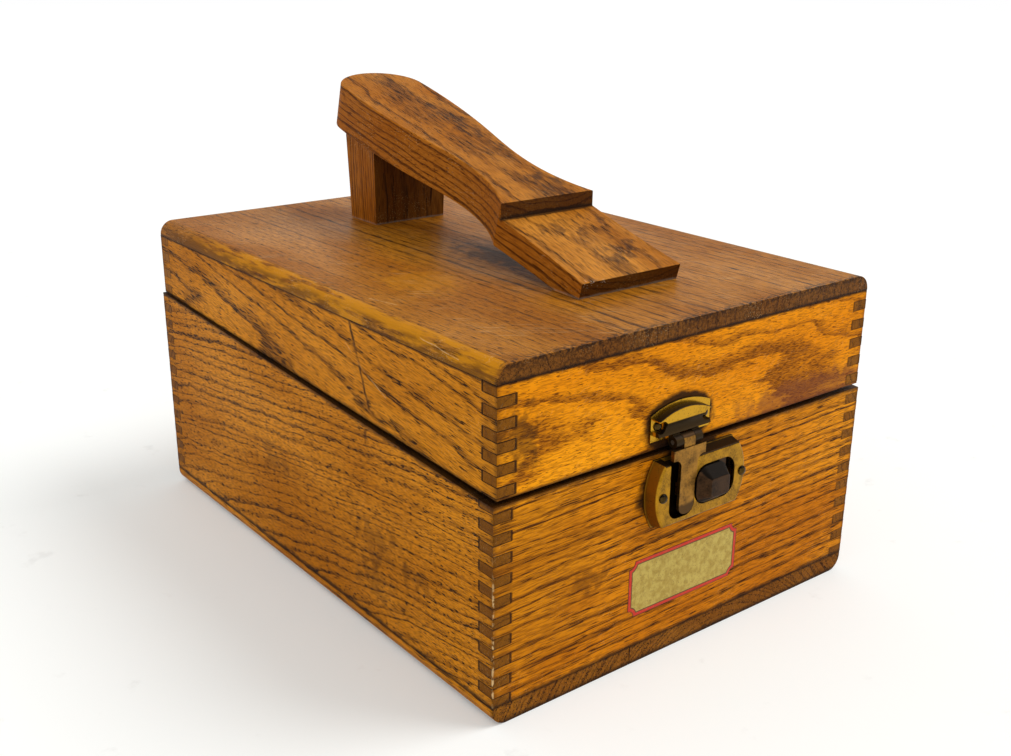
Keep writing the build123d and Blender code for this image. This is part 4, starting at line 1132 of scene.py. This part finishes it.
# %% set the spring
BUTTON_TRAVEL, END_GAP = 5.5 * MM, 0.3 * MM
low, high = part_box("latch_spring")
start = [(low.x + END_GAP, (low.y + high.y) / 2, (low.z + high.z) / 2)]
mesh = grow(springs, start, "return_spring", Length=high.x - low.x - 2 * END_GAP, Material=dull_steel)
spring = finished_piece(mesh, "return_spring", dull_steel, "latch_spring")
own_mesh(spring)

# %% [markdown]
# ## Floor and light
#
# The box stands on a plain white table in soft daylight that comes from the right, with a faint second
# window at the left for a glint on the brass. A broad sun gives the whole floor the same light, and a pale
# world fills the shadows. The floor also glows for the camera and in reflections: painted light that is about
# a fifth of its brightness near the box, which makes the box's shadow paler, and all of it far away, where
# the floor turns plain white.

# %% floor
def seen_directly(tree):
    """One for the rays that show a surface to the camera, and zero for those that only carry light."""
    ray = add_node(tree, "ShaderNodeLightPath").outputs
    mirrored = calc(tree, "MAXIMUM", ray["Is Glossy Ray"], ray["Is Transmission Ray"])
    return calc(tree, "MAXIMUM", ray["Is Camera Ray"], mirrored)


REACH = 6
floor_mesh = bpy.data.meshes.new("floor")
corners = [(-REACH, -REACH, 0), (REACH, -REACH, 0), (REACH, REACH, 0), (-REACH, REACH, 0)]
floor_mesh.from_pydata(corners, [], [range(4)])
floor = stand("floor", floor_mesh)
white_table, tree, shader, place, normal = new_finish("white_table")
marks = fade(tree, cloud(tree, place, 26, 6.0), 0.64, 0.74, 0.0, 0.25)
colour = mix(tree, marks, (0.96, 0.972, 0.953, 1), (0.55, 0.54, 0.52, 1))
fill(tree, shader.inputs["Base Color"], colour)
shader.inputs["Roughness"].default_value = 0.6
shader.inputs["Specular IOR Level"].default_value = 0.1
# painted light: a glow seen by the camera and in reflections, a fifth of the floor near the box and all of it
# far off
painted_floor_glow = add_node(tree, "ShaderNodeEmission", {"Color": (1.0, 1.0, 0.99, 1), "Strength": 1.04}).outputs[0]
far = fade(tree, arrow(tree, "LENGTH", place), 350, 2200, 0.22, 1.0)
painted_glow_share = times(tree, seen_directly(tree), far)
surface = add_node(tree, "ShaderNodeMixShader", {0: painted_glow_share, 1: shader.outputs[0], 2: painted_floor_glow}).outputs[0]
fill(tree, tree.nodes["Material Output"].inputs["Surface"], surface)
floor_mesh.materials.append(white_table)

# %% light
world = bpy.data.worlds.new("studio")
bpy.context.scene.world = world
world.use_nodes = True
tree = world.node_tree
background = tree.nodes["Background"]
seen = seen_directly(tree)
fill(tree, background.inputs["Color"], mix(tree, seen, (0.985, 1.0, 0.985, 1), (1.0, 1.0, 1.0, 1)))
fill(tree, background.inputs["Strength"], fade(tree, seen, 0.0, 1.0, 0.65, 1.0))


def sunlight(name, energy, angle, source):
    """A sun of some width in degrees, which shines from the direction of `source`."""
    data = bpy.data.lights.new(name, "SUN")
    data.energy = energy
    data.angle = radians(angle)
    stand(name, data).rotation_euler = Vector(source).to_track_quat("Z", "Y").to_euler()


sunlight("window_light", 1.5, 30, (0.50, -0.32, 0.80))
sunlight("far_window", 0.3, 6, (-0.35, -0.5, 0.79))
